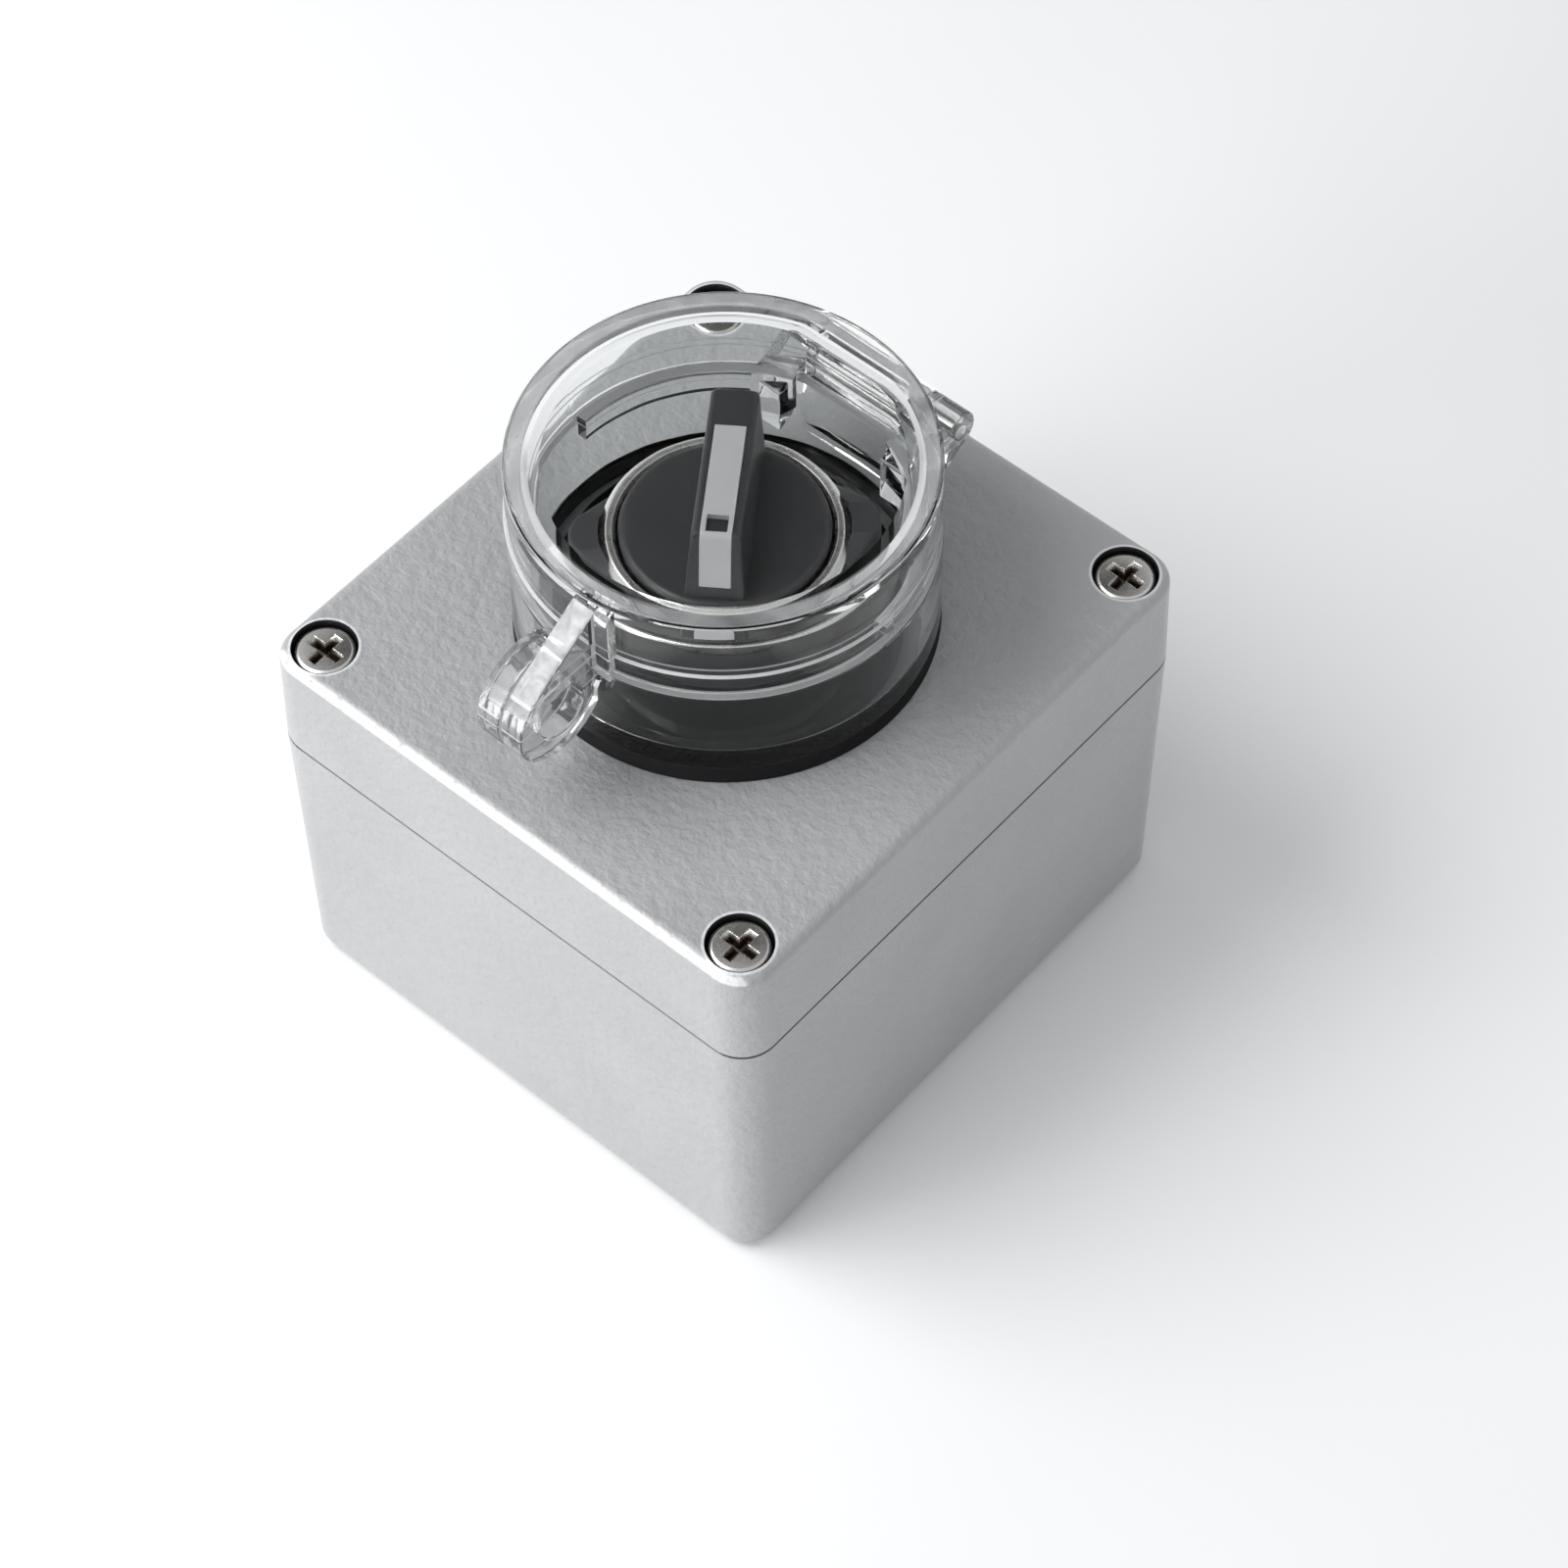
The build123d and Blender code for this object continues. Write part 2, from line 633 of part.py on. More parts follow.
# Contact blocks: one is pressed in each position of the knob
block_end = block_length / 2
room_end = block_end - block_wall
chamber_end = room_end - terminal_room - block_wall
terminal_y = room_end - terminal_room / 2
bridge_length = 2 * (chamber_end - bridge_end_clearance)
strap_inner_end = chamber_end - strap_reach_in
for name, side, pressed in (("off", -1, True), ("on", 1, False)):
    block_x = side * plunger_offset
    inner_face = side * block_gap / 2
    outer_face = side * (block_gap / 2 + block_width)
    cover_inner = outer_face - side * block_wall
    chamber_x = (inner_face + side * block_wall + outer_face) / 2
    chamber_width = block_width - block_wall
    drop = cam_lift if pressed else 0.0
    bridge_z = bridge_pressed_z + cam_lift - drop
    carrier_bottom_z = bridge_z - carrier_below_bridge
    carrier_top_z = bridge_z + carrier_above_bridge
    cam_face_z = cam_middle_z + cam_slope * plunger_offset / sqrt(2) - drop
    tip_z = cam_face_z - plunger_tip_gap

    # Housing: chamber open at its outer side, terminal rooms open at the ends and below
    with BuildPart() as housing:
        with BuildSketch(Plane.XY.offset(block_bottom_z)):
            with Locations(((inner_face + outer_face) / 2, 0)):
                Rectangle(block_width, block_length)
        extrude(amount=block_height)
        with BuildSketch(Plane.XY.offset(cavity_bottom_z)):
            with Locations((chamber_x, 0)):
                Rectangle(chamber_width, 2 * chamber_end)
        extrude(amount=cavity_top_z - cavity_bottom_z, mode=Mode.SUBTRACT)
        with BuildSketch(Plane.XY.offset(block_bottom_z)):
            with Locations((block_x, terminal_y), (block_x, -terminal_y)):
                Rectangle(strap_width + 2 * contact_gap_closed, terminal_room)
        extrude(amount=strap_top_z - block_bottom_z, mode=Mode.SUBTRACT)
        with BuildSketch(Plane.XY.offset(strap_top_z - strap_thickness)):
            with Locations((block_x, 0)):
                Rectangle(strap_width + 2 * contact_gap_closed, 2 * room_end)
        extrude(amount=strap_thickness, mode=Mode.SUBTRACT)
        for end in (-1, 1):
            with BuildSketch(Plane.XZ.offset(end * block_end)):
                with Locations((block_x, strap_top_z - strap_thickness - wire_hole_radius - wire_hole_gap)):
                    Circle(wire_hole_radius)
            extrude(amount=-end * (block_wall + terminal_room / 2), mode=Mode.SUBTRACT)
        with BuildSketch(Plane.XY.offset(cavity_top_z)):
            with Locations((block_x, 0)):
                Circle(plunger_radius + plunger_clearance)
        extrude(amount=block_wall, mode=Mode.SUBTRACT)
    housing.part.label = "contact_housing_" + name
    export_step(housing.part, "parts/contact_housing_" + name + ".step")

    # Side cover that closes the chamber
    with BuildPart() as side_cover:
        with BuildSketch(Plane.XY.offset(cavity_bottom_z)):
            with Locations(((cover_inner + outer_face) / 2, 0)):
                Rectangle(block_wall, 2 * chamber_end)
        extrude(amount=cavity_top_z - cavity_bottom_z)
    side_cover.part.label = "contact_cover_" + name
    export_step(side_cover.part, "parts/contact_cover_" + name + ".step")

    # Plunger: round tip, stem, carrier for the bridge and a guide pin for the spring
    with BuildPart() as plunger:
        with BuildSketch(Plane.XY.offset(carrier_top_z)):
            with Locations((block_x, 0)):
                Circle(plunger_radius)
        extrude(amount=tip_z - carrier_top_z)
        fillet(plunger.edges().group_by(Axis.Z)[-1], 0.9 * plunger_radius)
        with BuildSketch(Plane.XY.offset(carrier_bottom_z)):
            with Locations((block_x, 0)):
                Rectangle(carrier_width, carrier_length)
        extrude(amount=carrier_top_z - carrier_bottom_z)
        with BuildSketch(Plane.XY.offset(bridge_z)):
            with Locations((block_x, 0)):
                Rectangle(bridge_width, carrier_length)
        extrude(amount=bridge_thickness, mode=Mode.SUBTRACT)
        with BuildSketch(Plane.XY.offset(carrier_bottom_z)):
            with Locations((block_x, 0)):
                Circle(guide_pin_radius)
        extrude(amount=-guide_pin_length)
    plunger.part.label = "plunger_" + name
    export_step(plunger.part, "parts/plunger_" + name + ".step")

    # Contact bridge through the carrier's slot
    with BuildPart() as bridge:
        with BuildSketch(Plane.XY.offset(bridge_z)):
            with Locations((block_x, 0)):
                Rectangle(bridge_width, bridge_length)
        extrude(amount=bridge_thickness)
    bridge.part.label = "contact_bridge_" + name
    export_step(bridge.part, "parts/contact_bridge_" + name + ".step")

    # Fixed contacts: a strap at each end, from the bridge to the terminal room
    with BuildPart() as straps:
        with BuildSketch(Plane.XY.offset(strap_top_z - strap_thickness)):
            with Locations((block_x, (strap_inner_end + room_end) / 2), (block_x, -(strap_inner_end + room_end) / 2)):
                Rectangle(strap_width, room_end - strap_inner_end)
        extrude(amount=strap_thickness)
    straps.part.label = "fixed_contacts_" + name
    export_step(straps.part, "parts/fixed_contacts_" + name + ".step")

    # Terminal screws, driven up against the straps
    with BuildPart() as terminals:
        with BuildSketch(Plane.XY.offset(block_bottom_z + block_wall)):
            with Locations((block_x, terminal_y), (block_x, -terminal_y)):
                Circle(terminal_screw_radius)
        extrude(amount=strap_top_z - strap_thickness - block_bottom_z - block_wall)
        with BuildSketch(Plane.XY.offset(block_bottom_z + block_wall)):
            with Locations((block_x, terminal_y), (block_x, -terminal_y)):
                Circle(terminal_head_radius - 2 * contact_gap_closed)
        extrude(amount=terminal_head_height)
    terminals.part.label = "terminal_screws_" + name
    export_step(terminals.part, "parts/terminal_screws_" + name + ".step")

    # Return spring between the housing floor and the carrier
    spring_bottom_z = cavity_bottom_z + spring_end_gap + spring_wire / 2
    spring_length = carrier_bottom_z - spring_end_gap - spring_wire / 2 - spring_bottom_z
    with BuildPart() as spring:
        with BuildLine(Plane.XY.offset(spring_bottom_z)) as coil:
            Helix(pitch=spring_length / spring_turns, height=spring_length, radius=spring_radius,
                  center=(block_x, 0, 0))
        with BuildSketch(Plane(origin=coil.edges()[0] @ 0, z_dir=coil.edges()[0] % 0)):
            Rectangle(spring_wire, spring_wire)
        sweep(is_frenet=True)
    spring.part.label = "return_spring_" + name
    export_step(spring.part, "parts/return_spring_" + name + ".step")

# Cover gasket: black disc with a sloping outer edge, between the box and the clear cover
with BuildPart() as cover_gasket:
    with BuildSketch(Plane.XZ):
        with BuildLine():
            Polyline(
                (centre_hole_radius, box_height),
                (gasket_bottom_radius, box_height),
                (gasket_top_radius, cover_floor_z),
                (centre_hole_radius, cover_floor_z),
                close=True,
            )
        make_face()
    revolve(axis=Axis.Z)
cover_gasket.part.label = "cover_gasket"
export_step(cover_gasket.part, "parts/cover_gasket.step")

# Cover base: floor, wall with a flat at the hinge, rear lip, knuckles and padlock ear
knuckle_inner_x = lid_knuckle_width / 2 + knuckle_gap
knuckle_outer_x = knuckle_inner_x + base_knuckle_width
wall_inner_radius = cover_radius - cover_wall
with BuildPart() as cover_base:
    with BuildSketch(Plane.XY.offset(cover_floor_z)):
        Circle(cover_radius)
    extrude(amount=cover_floor)
    with BuildSketch(Plane.XY.offset(flange_z)):
        Circle(cover_radius)
        Circle(wall_inner_radius, mode=Mode.SUBTRACT)
    extrude(amount=cover_joint_z - flange_z)
    with BuildSketch(side_plane(-ear_gap / 2)):
        with Locations((ear_y, ear_z)):
            Circle(ear_radius)
        with BuildLine():
            Polyline(
                (-wall_inner_radius - cover_wall / 2, box_height + ear_foot_height),
                (-wall_inner_radius - cover_wall / 2, cover_joint_z),
                (ear_y, ear_z + ear_radius),
                (ear_y, ear_z - ear_radius),
                close=True,
            )
        make_face()
    extrude(amount=-ear_thickness)
    with BuildSketch(Plane.XY.offset(cover_joint_z)):
        Circle(cover_radius + ear_clearance + lip_clearance)
    extrude(amount=cover_joint_z, mode=Mode.SUBTRACT)
    with BuildSketch(Plane.XY.offset(cover_joint_z - lip_foot)):
        Circle(lip_outer_radius)
        Circle(lip_inner_radius, mode=Mode.SUBTRACT)
        with Locations((0, -cover_radius)):
            Rectangle(2 * cover_radius, 2 * cover_radius, mode=Mode.SUBTRACT)
    extrude(amount=lip_foot + lip_rise)
    with BuildSketch(Plane.XY.offset(cover_joint_z - flat_height)):
        with Locations((0, cover_radius)):
            Rectangle(2 * knuckle_inner_x, 2 * (cover_radius - base_flat_inner_y))
        Circle(cover_radius, mode=Mode.INTERSECT)
    extrude(amount=flat_height)
    with BuildSketch(Plane.XY.offset(cover_joint_z - flat_height)):
        with Locations((0, flat_y + cover_wall)):
            Rectangle(2 * knuckle_inner_x, 2 * cover_wall)
    extrude(amount=flat_height, mode=Mode.SUBTRACT)
    with BuildSketch(Plane.XY.offset(cover_joint_z)):
        with Locations((0, cover_radius)):
            Rectangle(lid_knuckle_width + 2 * knuckle_gap, cover_radius)
    extrude(amount=lip_rise, mode=Mode.SUBTRACT)
    for side in (-1, 1):
        with BuildSketch(side_plane(side * knuckle_inner_x)):
            with Locations((hinge_y, hinge_z)):
                Circle(knuckle_radius)
            with BuildLine():
                Polyline(
                    (wall_inner_radius * cos(pi / 5), cover_joint_z - hinge_gusset_height),
                    (hinge_y + knuckle_radius * sin(pi / 5), hinge_z - knuckle_radius * cos(pi / 5)),
                    (hinge_y, hinge_z),
                    (hinge_y - knuckle_radius * cos(pi / 6), cover_joint_z),
                    (wall_inner_radius * cos(pi / 5), cover_joint_z),
                    close=True,
                )
            make_face()
        extrude(amount=side * base_knuckle_width)
    with BuildSketch(Plane.XY.offset(flange_z)):
        Circle(wall_inner_radius)
    extrude(amount=cover_joint_z - lip_foot - flange_z, mode=Mode.SUBTRACT)
    with BuildSketch(side_plane(-box_x / 2)):
        with Locations((hinge_y, hinge_z)):
            Circle(hinge_pin_radius + hinge_pin_clearance / 3)
        with Locations((ear_y, ear_z)):
            Circle(padlock_radius)
    extrude(amount=box_x, mode=Mode.SUBTRACT)
    inner_corner = cover_base.edges().filter_by_position(Axis.Z, flange_z, flange_z).filter_by(GeomType.CIRCLE)
    fillet(inner_corner.sort_by(SortBy.RADIUS)[-1], cover_floor_rounding)
    with BuildSketch(Plane.XY.offset(cover_floor_z)):
        Circle(centre_hole_radius)
    extrude(amount=cover_floor, mode=Mode.SUBTRACT)
cover_base.part.label = "cover_base"
export_step(cover_base.part, "parts/cover_base.step")

# Cover lid: wall with a flat at the hinge, a knuckle and a front band
cap_inner_radius = lid_wall_top_radius - lid_wall
lid_flat_inner_y = flat_y - lid_wall
with BuildPart() as cover_lid:
    with BuildSketch(Plane.XY.offset(cover_lid_z)):
        Circle(lid_wall_top_radius)
        with Locations((0, flat_y + cover_radius)):
            Rectangle(2 * cover_radius, 2 * cover_radius, mode=Mode.SUBTRACT)
    extrude(amount=cover_plate_z - cover_lid_z)
    with BuildSketch(Plane.XY.offset(cover_lid_z)):
        Circle(lid_wall_top_radius + band_step)
        with Locations((0, cover_radius)):
            Rectangle(3 * cover_radius, 2 * cover_radius, mode=Mode.SUBTRACT)
    extrude(amount=band_height)
    with BuildSketch(side_plane(-lid_knuckle_width / 2)):
        with Locations((hinge_y, hinge_z)):
            Circle(knuckle_radius)
        with BuildLine():
            Polyline(
                (flat_y - lid_wall / 2, cover_lid_z),
                (flat_y + (hinge_y - flat_y) / 3, cover_lid_z),
                (hinge_y, hinge_z),
                (hinge_y, hinge_z + knuckle_radius),
                (flat_y - lid_wall / 2, hinge_z + 2 * knuckle_radius),
                close=True,
            )
        make_face()
    extrude(amount=lid_knuckle_width)
    with BuildSketch(Plane.XY.offset(cover_lid_z)):
        Circle(cap_inner_radius)
        with Locations((0, lid_flat_inner_y + cover_radius)):
            Rectangle(2 * cover_radius, 2 * cover_radius, mode=Mode.SUBTRACT)
    extrude(amount=cover_plate_z - cover_lid_z, mode=Mode.SUBTRACT)
    with BuildSketch(side_plane(-box_x / 2)):
        with Locations((hinge_y, hinge_z)):
            Circle(hinge_pin_radius + hinge_pin_clearance)
    extrude(amount=box_x, mode=Mode.SUBTRACT)
cover_lid.part.label = "cover_lid"
export_step(cover_lid.part, "parts/cover_lid.step")

# Padlock hasp: arm, root plate and ear that stand out from the lid's wall
arm_start_y = -lid_wall_top_radius + cover_top_rounding
arm_start_z = cover_top_z - cover_top_rounding / 2
reach_y = arm_start_y - ear_y
reach_z = arm_start_z - ear_z
tangent_angle = atan2(reach_z, reach_y) + atan2(sqrt(reach_y ** 2 + reach_z ** 2 - ear_radius ** 2), ear_radius)
with BuildPart() as padlock_hasp:
    with BuildSketch(side_plane(ear_gap / 2)):
        with Locations((ear_y, ear_z)):
            Circle(ear_radius)
        with BuildLine():
            Polyline(
                (arm_start_y, arm_start_z),
                (ear_y + ear_radius * cos(tangent_angle), ear_z + ear_radius * sin(tangent_angle)),
                (ear_y, ear_z),
                (ear_y + ear_radius * sin(pi / 3), ear_z - ear_radius * cos(pi / 3)),
                (arm_start_y, cover_lid_z),
                close=True,
            )
        make_face()
    extrude(amount=ear_thickness)
    with BuildSketch(side_plane(ear_gap / 2)):
        with BuildLine():
            Polyline(
                (arm_start_y, cover_lid_z),
                (-lid_wall_top_radius - arm_root_step, cover_lid_z),
                (-lid_wall_top_radius - arm_root_step, arm_start_z - 2 * cover_top_rounding),
                (arm_start_y, arm_start_z),
                close=True,
            )
        make_face()
    extrude(amount=arm_root_width)
    with BuildSketch(Plane.XY.offset(cover_lid_z)):
        Circle(lid_wall_top_radius)
    extrude(amount=cover_height, mode=Mode.SUBTRACT)
    with BuildSketch(Plane.XY.offset(cover_lid_z)):
        Circle(lid_wall_top_radius + band_step)
    extrude(amount=band_height, mode=Mode.SUBTRACT)
    with BuildSketch(Plane.XY.offset(flange_z)):
        Circle(cover_radius + ear_clearance)
    extrude(amount=cover_lid_z - flange_z, mode=Mode.SUBTRACT)
    with BuildSketch(side_plane(-box_x / 2)):
        with Locations((ear_y, ear_z)):
            Circle(padlock_radius)
    extrude(amount=box_x, mode=Mode.SUBTRACT)
padlock_hasp.part.label = "padlock_hasp"
export_step(padlock_hasp.part, "parts/padlock_hasp.step")

# Window plate that closes the top of the cap
with BuildPart() as cover_window:
    with BuildSketch(Plane.XY.offset(cover_plate_z)):
        Circle(lid_wall_top_radius)
    extrude(amount=cover_top)
    fillet(cover_window.edges().group_by(Axis.Z)[-1], cover_top_rounding)
cover_window.part.label = "cover_window"
export_step(cover_window.part, "parts/cover_window.step")

# Hinge pin through all three knuckles
with BuildPart() as cover_hinge_pin:
    with BuildSketch(side_plane(-knuckle_outer_x)):
        with Locations((hinge_y, hinge_z)):
            Circle(hinge_pin_radius)
    extrude(amount=2 * knuckle_outer_x)
cover_hinge_pin.part.label = "cover_hinge_pin"
export_step(cover_hinge_pin.part, "parts/cover_hinge_pin.step")
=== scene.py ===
from math import acos, atan2, cos, hypot, pi, radians, sin, sqrt

import bmesh
import bpy
import numpy as np
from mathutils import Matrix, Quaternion, Vector


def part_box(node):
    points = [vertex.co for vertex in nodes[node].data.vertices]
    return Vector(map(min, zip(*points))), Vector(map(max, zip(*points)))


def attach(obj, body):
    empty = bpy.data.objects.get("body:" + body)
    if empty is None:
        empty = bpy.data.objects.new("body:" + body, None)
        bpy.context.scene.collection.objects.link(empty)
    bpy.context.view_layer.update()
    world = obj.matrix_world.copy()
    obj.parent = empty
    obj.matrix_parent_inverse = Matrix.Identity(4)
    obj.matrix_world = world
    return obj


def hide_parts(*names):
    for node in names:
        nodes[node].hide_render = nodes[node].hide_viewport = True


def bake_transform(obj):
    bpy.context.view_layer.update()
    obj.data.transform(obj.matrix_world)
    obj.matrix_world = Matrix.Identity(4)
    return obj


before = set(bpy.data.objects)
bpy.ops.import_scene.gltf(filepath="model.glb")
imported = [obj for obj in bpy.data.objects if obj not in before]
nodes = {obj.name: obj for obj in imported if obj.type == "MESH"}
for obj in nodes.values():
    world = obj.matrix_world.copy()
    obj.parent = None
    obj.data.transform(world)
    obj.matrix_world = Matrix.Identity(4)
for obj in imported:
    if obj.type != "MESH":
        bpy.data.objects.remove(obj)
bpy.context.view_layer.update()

mm = 0.001


# Enclosure base: an aluminium die casting with drafted sides, sprayed with a light grey
# hammered powder coat. Its solid has the right shape, so it only gets the coat.

class Wire:
    """One output of a shader node; sums, products and powers of wires and numbers add Math nodes."""

    def __init__(self, finish, socket):
        self.finish, self.socket = finish, socket

    def math(self, operation, *terms):
        return self.finish.node("ShaderNodeMath", {"operation": operation}, dict(enumerate(terms)))

    def __add__(self, other):
        return self.math("ADD", self, other)

    def __sub__(self, other):
        return self.math("SUBTRACT", self, other)

    def __rsub__(self, other):
        return self.math("SUBTRACT", other, self)

    def __mul__(self, other):
        return self.math("MULTIPLY", self, other)

    def __pow__(self, other):
        return self.math("POWER", self, other)

    def __abs__(self):
        return self.math("ABSOLUTE", self)

    __radd__ = __add__
    __rmul__ = __mul__

    def between(self, low, high):
        """0 below low, 1 above high, and a smooth step from one to the other."""
        return self.finish.node(
            "ShaderNodeMapRange", {"interpolation_type": "SMOOTHSTEP"},
            {"Value": self, "From Min": low, "From Max": high})


class Finish:
    """A material: constants go straight to the shader's sockets, and wires carry what varies."""

    def __init__(self, name, **sockets):
        self.material = bpy.data.materials.new(name)
        self.material.use_nodes = True
        self.tree = self.material.node_tree
        self.shader = self.tree.nodes["Principled BSDF"]
        self.place = self.node("ShaderNodeTexCoord", output="Object")
        self.set(**sockets)

    def node(self, kind, settings=None, sockets=None, output=0):
        """Adds a node: settings first, then a value or a wire for each of its sockets."""
        node = self.tree.nodes.new(kind)
        for name, value in (settings or {}).items():
            setattr(node, name, value)
        for name, value in (sockets or {}).items():
            self.feed(node.inputs[name], value)
        return Wire(self, node.outputs[output])

    def feed(self, socket, value):
        if isinstance(value, Wire):
            self.tree.links.new(value.socket, socket)
        elif isinstance(value, tuple) and len(value) == 3 and socket.type == "RGBA":
            socket.default_value = (*value, 1)
        else:
            socket.default_value = value

    def set(self, **sockets):
        """Sets shader sockets, named with _ for a space."""
        for name, value in sockets.items():
            self.feed(self.shader.inputs[name.replace("_", " ").title().replace("Ior", "IOR")], value)

    def noise(self, size, detail=2.0, roughness=0.5):
        """Soft blobs about size mm across, from 0 to 1."""
        return self.node("ShaderNodeTexNoise", None, {
            "Vector": self.place, "Scale": 1 / (size * mm), "Detail": detail, "Roughness": roughness})

    def axis(self, name):
        """The place along X, Y or Z, in mm."""
        return self.node("ShaderNodeSeparateXYZ", None, {0: self.place}, output=name) * (1 / mm)

    def mix(self, factor, low, high):
        """The colour low where factor is 0, and high where it is 1."""
        mixed = self.node("ShaderNodeMix", {"data_type": "RGBA"}, {"Factor": factor}, output=2)
        self.feed(mixed.socket.node.inputs[6], low)
        self.feed(mixed.socket.node.inputs[7], high)
        return mixed

    def bump(self, height, depth):
        """Raises the surface by depth mm times height."""
        self.set(normal=self.node("ShaderNodeBump", None, {"Height": height, "Distance": depth * mm}))

    def over(self, factor, **sockets):
        """Lays a second shader over the first, as far as factor goes from 0 to 1."""
        output = self.tree.nodes["Material Output"].inputs["Surface"]
        under = Wire(self, output.links[0].from_socket)
        self.shader = self.tree.nodes.new("ShaderNodeBsdfPrincipled")
        self.set(**sockets)
        upper = Wire(self, self.shader.outputs[0])
        both = self.node("ShaderNodeMixShader", None, {0: factor, 1: under, 2: upper})
        self.tree.links.new(both.socket, output)

    def paint(self, *pieces):
        for piece in pieces:
            piece.data.materials.clear()
            piece.data.materials.append(self.material)


joint_height = 43.0
joint_half, joint_fade = 0.12, 0.28
coat_light, coat_deep, joint_shade_dark = (0.395, 0.402, 0.408), (0.325, 0.332, 0.338), (0.035, 0.036, 0.038)
ripple_size, ripple_depth, grain_size = 1.3, 0.26, 0.42


def hammered_coat(name):
    """Powder coat: ripples 1.3 mm apart with finer grain on them, and painted shade as a dark line in the
    joint's groove.
    """
    finish = Finish(name, specular_ior_level=0.5, coat_weight=0.5, coat_roughness=0.14)
    ripple = finish.noise(ripple_size, 1.5)
    finish.bump(ripple + finish.noise(grain_size, 1.0) * 0.30, ripple_depth)
    finish.set(roughness=0.40 + 0.12 * finish.noise(6.0))
    cloud = finish.noise(18.0, 3.0).between(0.3, 0.7)
    finish.colour = finish.mix(cloud * 0.35 + 0.25 * ripple, coat_light, coat_deep)
    # Painted shade: the colour darkens along the joint between base and lid, where its groove lies in shade.
    joint = 1 - abs(finish.axis("Z") - joint_height).between(joint_half, joint_fade)
    finish.colour = finish.mix(joint, finish.colour, joint_shade_dark)
    finish.set(base_color=finish.colour)
    return finish


hammered_coat("hammered_coat").paint(nodes["enclosure_base"])


# Enclosure lid: die casting of the same finish, with a screw sunk in each corner. A painted
# highlight lies along the near top edge, the paint is rubbed thin round the counterbores, and
# their walls are painted black, as painted shade in the gap round each head and for the black washer there.
screw_x, screw_y = 32.1, 34.6
counterbore = 3.95
rubbed_and_highlight_pale, counterbore_shade_black = (0.70, 0.71, 0.72), (0.008, 0.008, 0.009)


def length(a, b):
    """Length of the vector (a, b) of two wires."""
    return (a * a + b * b) ** 0.5


def off_screw(finish):
    """Distance in mm from the axis of the nearest lid screw."""
    return length(abs(finish.axis("X")) - screw_x, abs(finish.axis("Y")) - screw_y)


lid_coat = hammered_coat("hammered_coat_lid")
off_axis, lid_z = off_screw(lid_coat), lid_coat.axis("Z")
rubbed_rim = 1 - abs(off_axis - counterbore - 0.2).between(0.10, 0.25)
rubbed_rim = rubbed_rim * lid_z.between(57.6, 57.9)
# Painted highlight: the near top edge is lightened on that side only, where the front light catches its
# fillet.
highlight_side = (0 - lid_coat.axis("Y")).between(37.6, 38.2)
near_edge_highlight = highlight_side * lid_z.between(56.9, 57.2) * (1 - lid_z.between(57.8, 57.95))
rubbed_and_highlight = rubbed_rim * 0.8 + near_edge_highlight * lid_coat.noise(0.8).between(0.2, 0.5)
# Painted shade: the counterbore walls turn black, for the dark gap round each head and for the black washer
# seen in it.
in_counterbore = 1 - off_axis.between(counterbore + 0.02, counterbore + 0.08)
lid_coat.colour = lid_coat.mix(rubbed_and_highlight, lid_coat.colour, rubbed_and_highlight_pale)
lid_coat.set(base_color=lid_coat.mix(in_counterbore, lid_coat.colour, counterbore_shade_black))
lid_coat.paint(nodes["enclosure_lid"])


# Lid gasket, screw washers and shaft seal: moulded black rubber, pressed into their seats.
rubber_black, rubber_grey = (0.004, 0.004, 0.005), (0.010, 0.010, 0.011)


def black_rubber(name):
    """Matt rubber with a fine skin and a little bloom."""
    finish = Finish(name, specular_ior_level=0.2)
    finish.bump(finish.noise(0.35), 0.02)
    finish.set(base_color=finish.mix(finish.noise(5.0, 3.0), rubber_black, rubber_grey),
               roughness=0.55 + 0.2 * finish.noise(2.0))
    return finish


rubber = black_rubber("black_rubber")
rubber.paint(nodes["lid_gasket"], nodes["lid_screw_washers"], nodes["shaft_seal"])


# Lid screws: four stainless cheese-head screws with a cross recess, driven down on their
# washers until the heads are nearly flush with the lid.
full_turn = 2 * pi
crisp_angle = radians(32.0)


def circle(columns):
    """Angles all the way round, without the last one, which is the first again."""
    return np.linspace(0, full_turn, columns, endpoint=False)


def polar(radius, angle, height, x=0.0, y=0.0):
    """Points at a radius, an angle and a height round the upright axis through (x, y)."""
    points = np.broadcast_arrays(x + radius * np.cos(angle), y + radius * np.sin(angle), height)
    return np.stack(points, -1)


def placed(name, data):
    """A new object of this mesh, light or camera, linked to the scene."""
    thing = bpy.data.objects.new(name, data)
    bpy.context.scene.collection.objects.link(thing)
    return thing


def tidy(mesh):
    """Merges doubles, turns faces outwards, and shades edges over the crisp angle as sharp."""
    work = bmesh.new()
    work.from_mesh(mesh)
    bmesh.ops.remove_doubles(work, verts=work.verts, dist=3e-7)
    bmesh.ops.dissolve_degenerate(work, dist=1e-7, edges=work.edges)
    bmesh.ops.recalc_face_normals(work, faces=work.faces)
    work.to_mesh(mesh)
    work.free()
    mesh.shade_smooth()
    mesh.set_sharp_from_angle(angle=crisp_angle)


def skin(name, points, around=True, along=True):
    """Mesh over a grid of points in mm, with a row for each step of the first parameter. around joins
    the last row to the first, and along the last column to the first; a row or column that shrinks to
    a point or a line closes the surface there."""
    rows, columns = points.shape[:2]
    index = np.arange(rows * columns).reshape(rows, columns)
    if around:
        index = np.vstack([index, index[:1]])
    if along:
        index = np.hstack([index, index[:, :1]])
    quads = np.stack([index[:-1, :-1], index[1:, :-1], index[1:, 1:], index[:-1, 1:]], -1).reshape(-1, 4)
    mesh = bpy.data.meshes.new(name)
    mesh.from_pydata((points.reshape(-1, 3) * mm).tolist(), [], quads.tolist())
    tidy(mesh)
    return placed(name, mesh)


